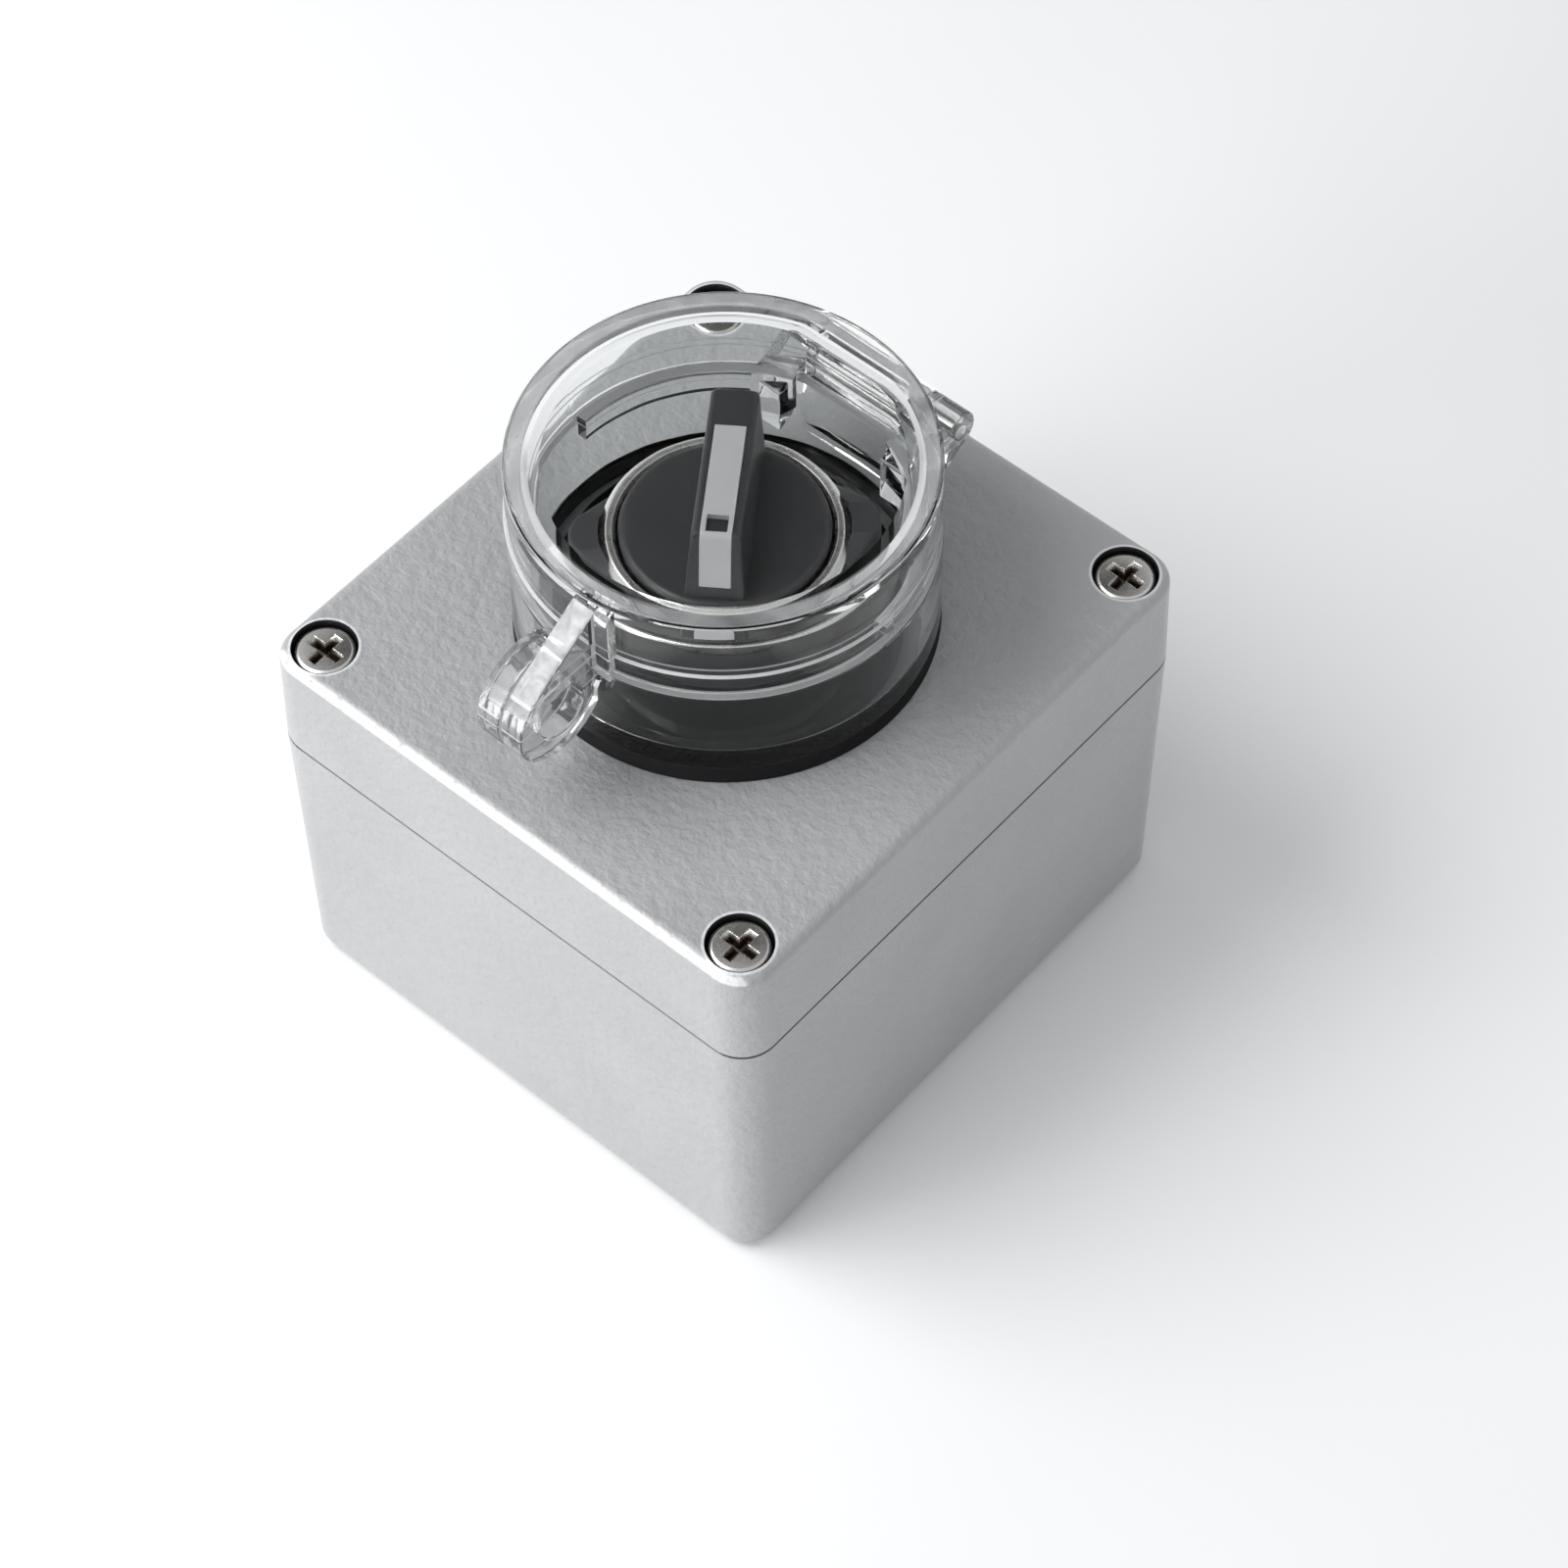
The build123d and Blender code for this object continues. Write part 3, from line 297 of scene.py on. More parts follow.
def rounded(corners, radius, steps=4):
    """Closed outline through corners (u, v) with a curve in each: the curve leaves each side at s from
    the corner C and runs as C + s ((1 - t)^2 b + t^2 a), b and a being the directions of the sides. One
    more point 0.05 mm beyond each end of a curve keeps the shading of the flat side beside it flat, so
    each corner gives steps + 3 points."""
    corners = np.asarray(corners, float)
    radius = np.broadcast_to(radius, corners.shape[:-1])
    back, ahead = np.roll(corners, 1, -2) - corners, np.roll(corners, -1, -2) - corners
    back_length, ahead_length = np.linalg.norm(back, axis=-1), np.linalg.norm(ahead, axis=-1)
    back = back / np.maximum(back_length, 1e-9)[..., None]
    ahead = ahead / np.maximum(ahead_length, 1e-9)[..., None]
    half = np.arccos(np.clip((back * ahead).sum(-1), -0.9999, 0.9999)) / 2
    shorter = np.minimum(back_length, ahead_length)
    setback = np.minimum(radius / np.tan(half), 0.48 * shorter)
    t = np.linspace(0, 1, steps + 1)[:, None]
    curve = (1 - t) ** 2 * back[..., None, :] + t ** 2 * ahead[..., None, :]
    beyond = np.minimum(setback + 0.05, 0.49 * shorter)
    beyond = np.where(radius > 0, beyond, 0)[..., None, None]
    points = corners[..., None, :] + np.concatenate(
        [beyond * back[..., None, :], setback[..., None, None] * curve, beyond * ahead[..., None, :]], -2)
    return points.reshape(*corners.shape[:-2], -1, 2)


def open_profile(corners, radius, steps=4):
    """Rounded outline from its first corner to its last, both of radius 0, without the side between."""
    return rounded(corners, radius, steps)[..., steps + 1:-steps - 1, :]


def turned(name, profile, columns, centre=(0.0, 0.0), lying=False, closed=True):
    """Profile (radius, height) carried round an axis through centre: x = r cos a, y = r sin a. The axis
    is upright, or lies along X where lying is set. An open profile starts and ends on the axis."""
    radius, height = np.asarray(profile, float).T
    points = polar(radius, circle(columns)[:, None], height, *centre)
    return skin(name, points[..., [2, 0, 1]] if lying else points, along=closed)


def one_piece(name, parts):
    """Several pieces' meshes joined as they are into one object."""
    work = bmesh.new()
    for part in parts:
        work.from_mesh(part.data)
        bpy.data.objects.remove(part)
    mesh = bpy.data.meshes.new(name)
    work.to_mesh(mesh)
    work.free()
    mesh.shade_smooth()
    mesh.set_sharp_from_angle(angle=crisp_angle)
    return placed(name, mesh)


def settle(piece, finish, slot, body, *stands_for):
    """Gives a piece its finish and its body, and hides the solids that it stands for. slot is not used."""
    finish.paint(piece)
    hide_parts(*stands_for)
    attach(piece, body)


def cross_head_screw(name, x, y, seat, shank_end, thread_start, head=(3.4, 2.4, 0.8)):
    """head is (radius, height, edge radius): z falls from the crown by the recess depth, the larger of
    two arms' depths, where an arm's depth is its floor cut by sloping sides. Shank: r = core + thread
    height times a sawtooth of z / pitch + a / turn, fading out at both ends."""
    head_radius, head_height, edge_radius = head
    crown, lower_edge = 0.2, 0.15
    arm_length, arm_width, recess_depth = head_radius * 0.65, head_radius * 0.18, 1.45
    side_slope, end_slope = 3.2, 2.0
    columns = 144
    angle = circle(columns)[:, None]
    radius = np.linspace(0, head_radius - edge_radius, 44)
    a, b = radius * np.cos(angle), radius * np.sin(angle)
    arms = [np.minimum((arm_width - abs(across)) * side_slope, (arm_length - abs(ahead)) * end_slope)
            for ahead, across in ((a, b), (b, a))]
    depth = np.clip(np.maximum(*arms), 0, recess_depth)
    top = seat + head_height
    height = top - crown * (radius / head_radius) ** 2 - depth
    edge = np.linspace(0, pi / 2, 7)[1:]
    edge_r = head_radius - edge_radius * (1 - np.sin(edge))
    edge_z = top - crown - edge_radius * (1 - np.cos(edge))
    side_r = np.r_[edge_r, head_radius, head_radius - lower_edge, 0.0]
    side_z = np.r_[edge_z, seat + lower_edge, seat, seat]
    r = np.hstack([np.broadcast_to(radius, a.shape), np.broadcast_to(side_r, (columns, len(side_r)))])
    z = np.hstack([height, np.broadcast_to(side_z, (columns, len(side_z)))])
    head_piece = skin(name + "_head", polar(r, angle, z, x, y), along=False)
    crest, core, pitch, rows_per_pitch = 1.93, 1.58, 0.7, 5
    angle = circle(24)[:, None]
    z = np.linspace(seat - 0.01, shank_end, int(abs(seat - shank_end) / pitch * rows_per_pitch))
    phase = (z / pitch + angle / full_turn) % 1
    fade = np.clip((thread_start - z) / pitch, 0, 1) * np.clip((z - shank_end) / pitch, 0, 1)
    r = np.where(z > thread_start, crest, core) + (crest - core) * fade * (1 - abs(2 * phase - 1))
    r[:, 0] = r[:, -1] = 0
    return [head_piece, skin(name + "_shank", polar(r, angle, z, x, y), along=False)]


def bright_metal(name, colour, roughness):
    """Bare metal with fine scratches in its surface and cloudy wear in its gloss."""
    finish = Finish(name, metallic=1.0)
    scratch = finish.noise(0.5, 3.0, 0.6)
    finish.bump(scratch, 0.004)
    finish.colour = finish.mix(finish.noise(3.0), colour, tuple(c * 0.86 for c in colour))
    finish.set(roughness=roughness + 0.12 * finish.noise(1.5, 3.0) + 0.05 * scratch, base_color=finish.colour)
    return finish


stainless = bright_metal("stainless_steel", (0.78, 0.78, 0.77), 0.16)
head_steel = bright_metal("screw_head_steel", (0.82, 0.80, 0.77), 0.18)
recess_dark = (0.10, 0.075, 0.055)
recess = (1 - off_screw(head_steel).between(2.5, 2.8)) * (1 - head_steel.axis("Z").between(56.6, 57.3))
head_steel.set(base_color=head_steel.mix(recess * 0.95, head_steel.colour, recess_dark))
screw_seat, screw_end, screw_thread, screw_head = 54.6, 29.0, 43.0, (3.65, 3.0, 0.5)
screws = []
for x, y in ((-screw_x, -screw_y), (-screw_x, screw_y), (screw_x, -screw_y), (screw_x, screw_y)):
    screws += cross_head_screw("lid_screw", x, y, screw_seat, screw_end, screw_thread, screw_head)
settle(one_piece("cross_head_lid_screws", screws), head_steel, "stainless_screw", "enclosure", "lid_screws")


# Earth terminal: a plated saddle washer under a screw on a boss of the base's floor.
earth_x, earth_y = -24.0, -19.0
plated = bright_metal("plated_steel", (0.62, 0.60, 0.56), 0.24)
plated.paint(nodes["earth_saddle"], nodes["clamp_screws"])
earth = cross_head_screw("earth", earth_x, earth_y, seat=11.0, shank_end=6.0, thread_start=10.0)
settle(one_piece("earth_terminal_screw", earth), plated, "plated_steel", "enclosure", "earth_screw")


# Operator body: a black moulding, its barrel through the lid and its flange on the floor of
# the clear cover. It carries the collar, the bezel and the knob.
plastic_black, plastic_worn = (0.044, 0.044, 0.046), (0.064, 0.064, 0.067)


def black_moulding(name, roughness=0.32, texture=0.012):
    """Black plastic with a fine spark-eroded texture."""
    finish = Finish(name, specular_ior_level=0.5)
    finish.bump(finish.noise(0.22), texture)
    finish.set(base_color=finish.mix(finish.noise(7.0, 3.0), plastic_black, plastic_worn),
               roughness=roughness + 0.14 * finish.noise(1.2))
    return finish


moulding = black_moulding("black_moulding")
moulding.paint(nodes["operator_body"], nodes["cam_shaft"], nodes["block_holder"])


# Winged collar: a black moulded plate clamped under the bezel, whose two pointed wings stand
# up beside it.
collar_foot, collar_seat, wing_top = 67.9, 69.4, 72.8
bezel_outside, bezel_clearance, collar_hole = 14.5, 0.05, 12.45


def hull(discs, steps):
    """Outline of a sheet stretched round discs (u, v, radius): for each direction n, the point
    centre + radius n of the disc that reaches furthest, centre . n + radius."""
    discs = np.asarray(discs, float)
    turn = circle(steps)
    n = np.stack([np.cos(turn), np.sin(turn)], -1)
    furthest = (n @ discs[:, :2].T + discs[:, 2]).argmax(1)
    return discs[furthest, :2] + discs[furthest, 2:] * n, n


def winged_collar():
    """Hull of the bezel's disc and one small disc at each wing, with its top edge curved over; inside
    the bezel the surface drops to its seat and then to the spigot hole."""
    wing_reach, wing_tip, edge = 14.0, 4.0, 0.45
    side = cos(pi / 4) * wing_reach
    outline, n = hull([(0, 0, bezel_outside), (side, side, wing_tip), (-side, -side, wing_tip)], 360)
    away = np.linalg.norm(outline, axis=1, keepdims=True)
    inward = outline / away
    well, hole = inward * (bezel_outside + bezel_clearance), inward * collar_hole
    wing = np.clip((away - bezel_outside - bezel_clearance) / 0.5, 0, 1)
    top = collar_seat + (wing_top - collar_seat) * (wing > 0)
    foot, seat = collar_foot + 0 * top, collar_seat + 0 * top
    rise = np.linspace(0, pi / 2, 5)
    rows = [(outline, foot)]
    rows += [(outline - n * edge * wing * (1 - np.cos(t)), top - edge * wing * (1 - np.sin(t))) for t in rise]
    rows += [(well, top), (well, seat), (hole, seat), (hole, foot)]
    return skin("winged_collar", np.stack([np.concatenate(row, 1) for row in rows]))


settle(winged_collar(), black_moulding("collar_moulding", 0.38), "black_plastic", "enclosure", "wing_collar")


# Bezel ring: turned brass, chromed, pressed on the collar round the knob.
bezel_inside, bezel_top = 12.6, 72.4
bezel_profile = rounded(
    [(bezel_inside, collar_seat), (bezel_outside, collar_seat), (bezel_outside, 71.55), (13.75, bezel_top),
     (13.0, bezel_top), (bezel_inside, 72.0)],
    [0.1, 0.2, 0.7, 0.45, 0.25, 0.25], 6)
chrome = bright_metal("chromed_ring", (0.93, 0.92, 0.89), 0.20)
settle(turned("chromed_bezel", bezel_profile, 192), chrome, "bright_bezel", "enclosure", "bezel_ring")


# Selector knob: a black moulded disc with a handle bar that narrows upwards and leans out at
# its back. A channel along its top and front holds the pointer insert.
pointer = radians(-55.0)
knob_radius, knob_foot, knob_disc_top, bar_top = 12.3, 70.2, 73.2, 81.5
stem_radius, shaft_radius = 4.97, 3.05
stem_foot, stem_step, stem_top = 62.2, 62.3, 71.0

# The bar's back end, front end and half width, where it leaves the disc and at its top.
bar_foot, bar_crest = np.array([-11.9, 10.9, 3.5]), np.array([-13.4, 8.7, 2.8])

# The insert's half width, depth, back end and lowest point, and the room left round it.
strip_half, strip_depth, strip_back, strip_foot, strip_room = 1.85, 0.8, -7.6, 74.6, 0.05


def joined(piece, others, operation="UNION"):
    """Unites pieces with the first, or cuts them from it, and cleans the result."""
    for other in others:
        modifier = piece.modifiers.new("joint", "BOOLEAN")
        modifier.operation, modifier.solver, modifier.object = operation, "EXACT", other
    graph = bpy.context.evaluated_depsgraph_get()
    mesh = bpy.data.meshes.new_from_object(piece.evaluated_get(graph))
    piece.modifiers.clear()
    piece.data = mesh
    for other in others:
        bpy.data.objects.remove(other)
    tidy(mesh)
    return piece


def along_pointer(u, v, z):
    """Puts points given along and across the pointer into the object's X and Y."""
    u, v, z = np.broadcast_arrays(u, v, z)
    return np.stack([u * cos(pointer) - v * sin(pointer), u * sin(pointer) + v * cos(pointer), z], -1)


def block(name, levels, corner):
    """Rounded rectangles (back, front, half width, z) stacked, closed at both ends by shrinking the
    rectangle onto its middle line."""
    rows = []
    for back, front, half, z in levels:
        outline = rounded([(back, -half), (front, -half), (front, half), (back, half)], corner)
        rows.append(along_pointer(outline[:, 0], outline[:, 1], z))
    return skin(name, np.stack(rows), around=False)


def handle_bar():
    """Between foot and crest the sides run straight; the top edge is a quarter of an ellipse."""
    edge, sunk = 0.6, knob_disc_top - 1.6
    back, front, half = bar_foot
    levels = [(back + half, front - half, 0.0, sunk), (*bar_foot, sunk), (*bar_foot, knob_disc_top)]
    for t in np.linspace(0, pi / 2, 7):
        drop, inset = edge * (1 - sin(t)), edge * (1 - cos(t))
        share = 1 - drop / (bar_top - knob_disc_top)
        back, front, half = bar_foot + (bar_crest - bar_foot) * share
        levels.append((back + inset, front - inset, half - inset, bar_top - drop))
    back, front, half, z = levels[-1]
    levels.append((back + half, front - half, 0.0, z))
    return block("handle_bar", levels, [0.9, 0.3, 0.3, 0.9])


def along_insert(name, half_width, over, under, back, foot):
    """Section of half_width carried along the bar's top from back, and down its front to the height
    foot. over and under are how far it reaches above and below that line, whose corner C is curved
    over as C + 0.9 ((1 - t)^2 b + t^2 a), with b back along the top and a down the front."""
    bend = 0.9
    slope = (bar_foot[1] - bar_crest[1]) / (bar_top - knob_disc_top)
    corner = np.array([bar_crest[1], bar_top])
    down = np.array([slope, -1.0]) / sqrt(1 + slope ** 2)
    outwards = np.array([1.0, slope]) / sqrt(1 + slope ** 2)
    t = np.linspace(0, 1, 6)[:, None]
    curve = corner + bend * ((1 - t) ** 2 * np.array([-1.0, 0]) + t ** 2 * down)
    normal = (1 - t) * np.array([0, 1.0]) + t * outwards
    normal = normal / np.linalg.norm(normal, axis=1, keepdims=True)
    line = np.vstack([[back, bar_top], curve, corner + down * (bar_top - foot) / -down[1]])
    normal = np.vstack([[0, 1.0], normal, outwards])
    section = rounded(
        [(-half_width, -under), (half_width, -under), (half_width, over), (-half_width, over)], 0.12, 3)
    side, depth = section.T
    end = (0 * side, (over - under) / 2 + 0 * depth)
    places = [(line[0], normal[0], *end)]
    places += [(point, n, side, depth) for point, n in zip(line, normal)]
    places += [(line[-1], normal[-1], *end)]
    rows = [along_pointer(point[0] + n[0] * d, s, point[1] + n[1] * d) for point, n, s, d in places]
    return skin(name, np.stack(rows), around=False)


disc_profile = open_profile(
    [(0, knob_foot), (knob_radius, knob_foot), (knob_radius, knob_disc_top), (0, knob_disc_top)],
    [0, 0.2, 0.9, 0], 6)
stem_profile = [(0, stem_foot), (shaft_radius, stem_foot), (shaft_radius, stem_step),
                (stem_radius, stem_step), (stem_radius, stem_top), (0, stem_top)]
knob = turned("knob_disc", disc_profile, 160, closed=False)
knob = joined(knob, [handle_bar(), turned("knob_stem", stem_profile, 64, closed=False)])
channel = along_insert("channel", strip_half + strip_room, 1.0, strip_depth + strip_room,
                       strip_back - strip_room, strip_foot - strip_room)
knob = joined(knob, [channel], "DIFFERENCE")
knob.name = "selector_knob_with_bar"
knob_black = black_moulding("knob_moulding", 0.30, 0.008)
settle(knob, knob_black, "black_plastic", "knob", "selector_knob")


# Pointer insert: a pale grey strip clipped into the bar's channel, with a square window at
# its front through which the black bar shows.
insert = along_insert("pointer_strip", strip_half, 0.0, strip_depth, strip_back, strip_foot)
window_ends, window_half, window_low, window_high = (5.6, 8.0), 1.25, 79.5, 82.5
window_middle = (6.8, 6.8)
window = block("window", [(*window_middle, 0, window_low), (*window_ends, window_half, window_low),
                          (*window_ends, window_half, window_high), (*window_middle, 0, window_high)], 0.15)
insert = joined(insert, [window], "DIFFERENCE")
insert_pale, insert_worn = (0.70, 0.70, 0.71), (0.63, 0.63, 0.64)
insert_grey = Finish("grey_insert", specular_ior_level=0.5)
insert_grey.bump(insert_grey.noise(0.4), 0.01)
insert_grey.set(base_color=insert_grey.mix(insert_grey.noise(3.0), insert_pale, insert_worn),
                roughness=0.38 + 0.12 * insert_grey.noise(1.0))
settle(insert, insert_grey, "grey_insert", "knob", "knob_insert")


# Fixing nut: turned brass, tightened on the barrel under the lid.
bright_metal("nut_brass", (0.72, 0.56, 0.30), 0.25).paint(nodes["fixing_nut"])


# Contact blocks: grey moulded housings with side covers, black plungers, and contact parts of
# silvered copper.
housing_deep, housing_light = (0.20, 0.21, 0.22), (0.26, 0.27, 0.28)
housing_grey = Finish("housing_moulding", specular_ior_level=0.45)
housing_grey.bump(housing_grey.noise(0.25), 0.012)
housing_grey.set(base_color=housing_grey.mix(housing_grey.noise(6.0), housing_deep, housing_light),
                 roughness=0.42 + 0.15 * housing_grey.noise(1.4))
copper = bright_metal("silvered_copper", (0.80, 0.66, 0.50), 0.22)
for state in ("off", "on"):
    housing_grey.paint(nodes["contact_housing_" + state], nodes["contact_cover_" + state])
    moulding.paint(nodes["plunger_" + state])
    for part in ("contact_bridge_", "fixed_contacts_", "terminal_screws_"):
        copper.paint(nodes[part + state])


# Return springs: coils of plated wire that stand on the housing's floor. Their upper ends go
# with the plungers, so one spring shortens as the other lengthens.
coil_turns, coil_wire, turn_steps = 4, 0.25, 32


def coil_spring(name, low, high):
    """Round wire along a helix that fills the box from low to high: x = (R + w cos s) cos a and y
    alike, z = rise a + w sin s, with the wire's radius w shrinking to nothing at both ends."""
    radius = (high[0] - low[0]) / 2 - coil_wire
    angle = np.linspace(0, coil_turns * full_turn, coil_turns * turn_steps + 1)
    angle = np.r_[angle[0], angle, angle[-1]][:, None]
    thick = np.r_[0, np.full(len(angle) - 2, coil_wire), 0][:, None]
    around = circle(12)
    rise = (high[2] - low[2] - 2 * coil_wire) / (coil_turns * full_turn)
    height = low[2] + coil_wire + rise * angle + thick * np.sin(around)
    centre = (low + high) / 2
    return skin(name, polar(radius + thick * np.cos(around), angle, height, *centre[:2]), around=False)


for state in ("off", "on"):
    low, high = np.array(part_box("return_spring_" + state)) / mm
    spring = coil_spring("coil_spring_" + state, low, high)
    plated.paint(spring)
    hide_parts("return_spring_" + state)
    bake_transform(spring)


# Cover gasket: black rubber under the clear cover, a ring whose outer edge slopes outwards and a
# disc inside it.
lid_face, gasket_top = 58.0, 60.5
barrel_hole, disc_outside, ring_inside, ring_foot, ring_top = 11.15, 20.6, 22.8, 25.2, 24.7
ring_profile = rounded(
    [(ring_inside, lid_face), (ring_foot, lid_face), (ring_top, gasket_top), (ring_inside, gasket_top)],
    [0.2, 0.25, 0.25, 0.2])
inner_profile = rounded(
    [(barrel_hole, lid_face), (disc_outside, lid_face), (disc_outside, gasket_top),
     (barrel_hole, gasket_top)],
    0.2)
gasket_parts = [turned("outer_ring", ring_profile, 192), turned("inner_disc", inner_profile, 192)]
settle(one_piece("cover_gasket_rings", gasket_parts), black_rubber("gasket_rubber"), "black_rubber",
       "enclosure", "cover_gasket")


# Cover base: clear moulded ring with a floor, a lip round its back half, a flat for the
# hinge, two hinge knuckles and one padlock ear.
cover_outside, cover_flat = 25.1, 24.0
cover_floor, foot_top, cover_joint = 62.5, 65.4, 73.6
room_radius, room_flat = 22.7, 21.6
lip_outside, lip_inside, lip_foot, lip_top = 22.85, 21.4, 71.4, 74.9
lip_end, flat_start = 70.6, 73.0
hinge_y, hinge_z, knuckle_radius, pin_radius = 27.1, 75.2, 2.7, 1.0
knuckle_width, knuckle_starts = 4.9, (-12.5, 7.6)
ear_y, ear_z, ear_radius, eye_radius = -31.3, 72.9, 6.9, 3.6
ear_inner, ear_outer = 0.15, 3.35
frost_and_highlight_white = (0.93, 0.94, 0.95)


def clear_moulding(name, levels, ends):
    """Clear polycarbonate: smooth, slightly wavy, a little hazier in patches. The narrow faces at the
    given levels (z, half height) are matt white, a frost that also paints the highlight of the bright lines
    these edges show, and the ears and hinge are frosted by the mould, as far as ends says."""
    finish = Finish(name, transmission_weight=1.0, ior=1.585, specular_tint=(0.15, 0.15, 0.15))
    finish.bump(finish.noise(9.0, 1.0), 0.05)
    finish.set(base_color=finish.mix(finish.noise(12.0), (0.985, 0.99, 0.99), (0.965, 0.975, 0.975)),
               roughness=0.012 + 0.03 * finish.noise(4.0, 3.0).between(0.4, 0.8))
    height, across = finish.axis("Z"), finish.axis("Y")
    # Painted highlight: the narrow faces at these levels turn matt white, partly a frosted face and partly
    # the bright lines light draws along these edges.
    matt_highlight = sum(1 - abs(height - level).between(half, half + 0.06) for level, half in levels)
    finish.over(matt_highlight * 0.7, base_color=frost_and_highlight_white, roughness=0.5, transmission_weight=0.35)
    at_ears, at_hinge = (0 - across).between(25.3, 25.6), across.between(24.6, 25.0)
    finish.over(ends * (at_ears + at_hinge), base_color=frost_and_highlight_white, roughness=0.25,
                transmission_weight=0.6, ior=1.4)
    return finish


def swept_ring(name, spans, corners, radii, closed=True):
    """Outline of corners (radius, height) carried round the upright axis. spans are (from, to, kind) in
    degrees, with a column about every 2; corners(angle, kind) gives the corners, which may change with
    the angle, and a change of kind between two spans makes an upright step."""
    counts = [max(2, int((high - low) / 2)) for low, high, kind in spans]
    turns = [np.linspace(*span[:2], count) for span, count in zip(spans, counts)]
    angle = np.radians(np.concatenate(turns))
    kind = np.repeat([span[2] for span in spans], counts)
    points = [np.stack(np.broadcast_arrays(*corner, angle)[:2], -1) for corner in corners(angle, kind)]
    outline = (rounded if closed else open_profile)(np.stack(points, -2), radii, 3)
    return skin(name, polar(outline[..., 0], angle[:, None], outline[..., 1]), along=closed)


def held_in(radius, flat, angle):
    """The radius, held in where its circle would pass the flat: the smaller of it and flat / sin a."""
    return np.minimum(radius, flat / np.maximum(np.sin(angle), 1e-3))


def base_corners(angle, kind):
    """From the floor's hole out along its underside, up the outside, over the joint face or the lip,
    and down to the floor. kind 1 is the part with the lip on it."""
    outside = held_in(cover_outside, cover_flat, angle)
    inside = held_in(room_radius, room_flat, angle)
    lip_out = np.where(kind == 1, lip_outside, inside)
    lip_in = np.where(kind == 1, lip_inside, inside)
    edge = np.where(kind == 1, lip_top, cover_joint)
    return [(barrel_hole, gasket_top), (cover_outside, gasket_top), (cover_outside, foot_top),
            (outside, foot_top), (outside, cover_joint), (lip_out, cover_joint), (lip_out, edge),
            (lip_in, edge), (lip_in, lip_foot), (inside, lip_foot), (inside, foot_top),
            (room_radius, foot_top), (room_radius, cover_floor), (barrel_hole, cover_floor)]


def plate(name, discs, low, high, eye=None, clip=None):
    """Plate from x = low to high whose outline is the hull of discs (y, z, radius), held in by clip,
    with its edges curved over, and with a round eye (y, z, radius) or closed to its middle."""
    outline, _ = hull(discs, 160)
    if clip:
        outline = clip(outline)
    middle = np.array(eye[:2]) if eye else outline.mean(0)
    toward = outline - middle
    toward = toward / np.linalg.norm(toward, axis=1, keepdims=True)
    # Section (inset, x) of the edge; the corners 3 mm inside only steer the curves and are left out.
    section = rounded([(3, low), (0, low), (0, high), (3, high)], [0, 0.35, 0.35, 0], 3)[6:-6]
    rings = [(outline - toward * inset, x) for inset, x in section]
    if eye:
        rings += [(middle + toward * (eye[2] + inset), x) for inset, x in section[::-1]]
    else:
        rings = [(middle + 0 * outline, low), *rings, (middle + 0 * outline, high)]
    rows = [np.concatenate([np.full((len(ring), 1), x), ring], 1) for ring, x in rings]
    return skin(name, np.stack(rows), around=bool(eye))


def pin_hole(name, radius):
    """Cylinder along the hinge pin, cut from the knuckles."""
    return turned(name, [(0, -40), (radius, -40), (radius, 40), (0, 40)], 40, (hinge_y, hinge_z),
                  lying=True, closed=False)


def clear_of_wall(above, y, z):
    """Keeps an ear's outline out of the wall it swings past, above or below height z."""
    def clip(outline):
        past = (outline[:, 1] > z) if above else (outline[:, 1] < z)
        return np.stack([np.where(past, np.minimum(outline[:, 0], y), outline[:, 0]), outline[:, 1]], -1)
    return clip


base_ring = swept_ring(
    "clear_cover_base",
    [(0, lip_end, 1), (lip_end, flat_start, 0), (flat_start, 180 - flat_start, 0),
     (180 - flat_start, 180 - lip_end, 0), (180 - lip_end, 180, 1), (180, 360, 0)],
    base_corners, [0.1, 0.3, 0.05, 0.1, 0.3, 0.08, 0.25, 0.25, 0.15, 0.05, 0.1, 0.1, 0.3, 0.1])
knuckle = [(hinge_y, hinge_z, knuckle_radius), (18.6, 67.3, 0.2), (18.6, 73.4, 0.2)]
base_knuckles = [plate("base_knuckle", knuckle, low, low + knuckle_width) for low in knuckle_starts]
ear_disc, eye = (ear_y, ear_z, ear_radius), (ear_y, ear_z, eye_radius)
base_ear = plate("base_ear", [ear_disc, (-24.0, 64.8, 0.3), (-24.0, 73.3, 0.3)], -ear_outer, -ear_inner,
                 eye, clear_of_wall(above=True, y=-25.75, z=cover_joint))
cover_base = joined(base_ring, [*base_knuckles, base_ear])
cover_base = joined(cover_base, [pin_hole("pin_hole", pin_radius + 0.02)], "DIFFERENCE")
clear = clear_moulding("clear_polycarbonate", [(74.95, 0.14), (cover_joint, 0.06)], 0.15)
settle(cover_base, clear, "clear_plastic", "enclosure", "cover_base")


# Cover lid: clear moulded cap with a flat back, one hinge knuckle, a thicker band round its
# front half, and the hasp arm with the second padlock ear.
lid_bottom, lid_band, lid_ceiling, lid_top = 73.8, 77.8, 84.2, 86.0
lid_outside, band_outside = 24.95, 25.25
lid_knuckle_end, root_outer = 7.4, 5.35
hollow_radius, hollow_flat = 23.15, 22.2
arm_tip = (-24.3, 85.4, 0.2)


def lid_corners(angle, kind):
    """From the ceiling's middle down the inside, up the outside and over the top. kind 1 is the front
    half, where the band stands proud of the wall."""
    wall = held_in(lid_outside, cover_flat, angle)
    inside = held_in(hollow_radius, hollow_flat, angle)
    band = np.where(kind == 1, band_outside, wall)
    return [(0, lid_ceiling), (inside, lid_ceiling), (inside, lid_bottom), (band, lid_bottom),
            (band, lid_band), (wall, lid_band), (wall, lid_ceiling), (lid_outside, lid_ceiling),
            (lid_outside, lid_top), (0, lid_top)]


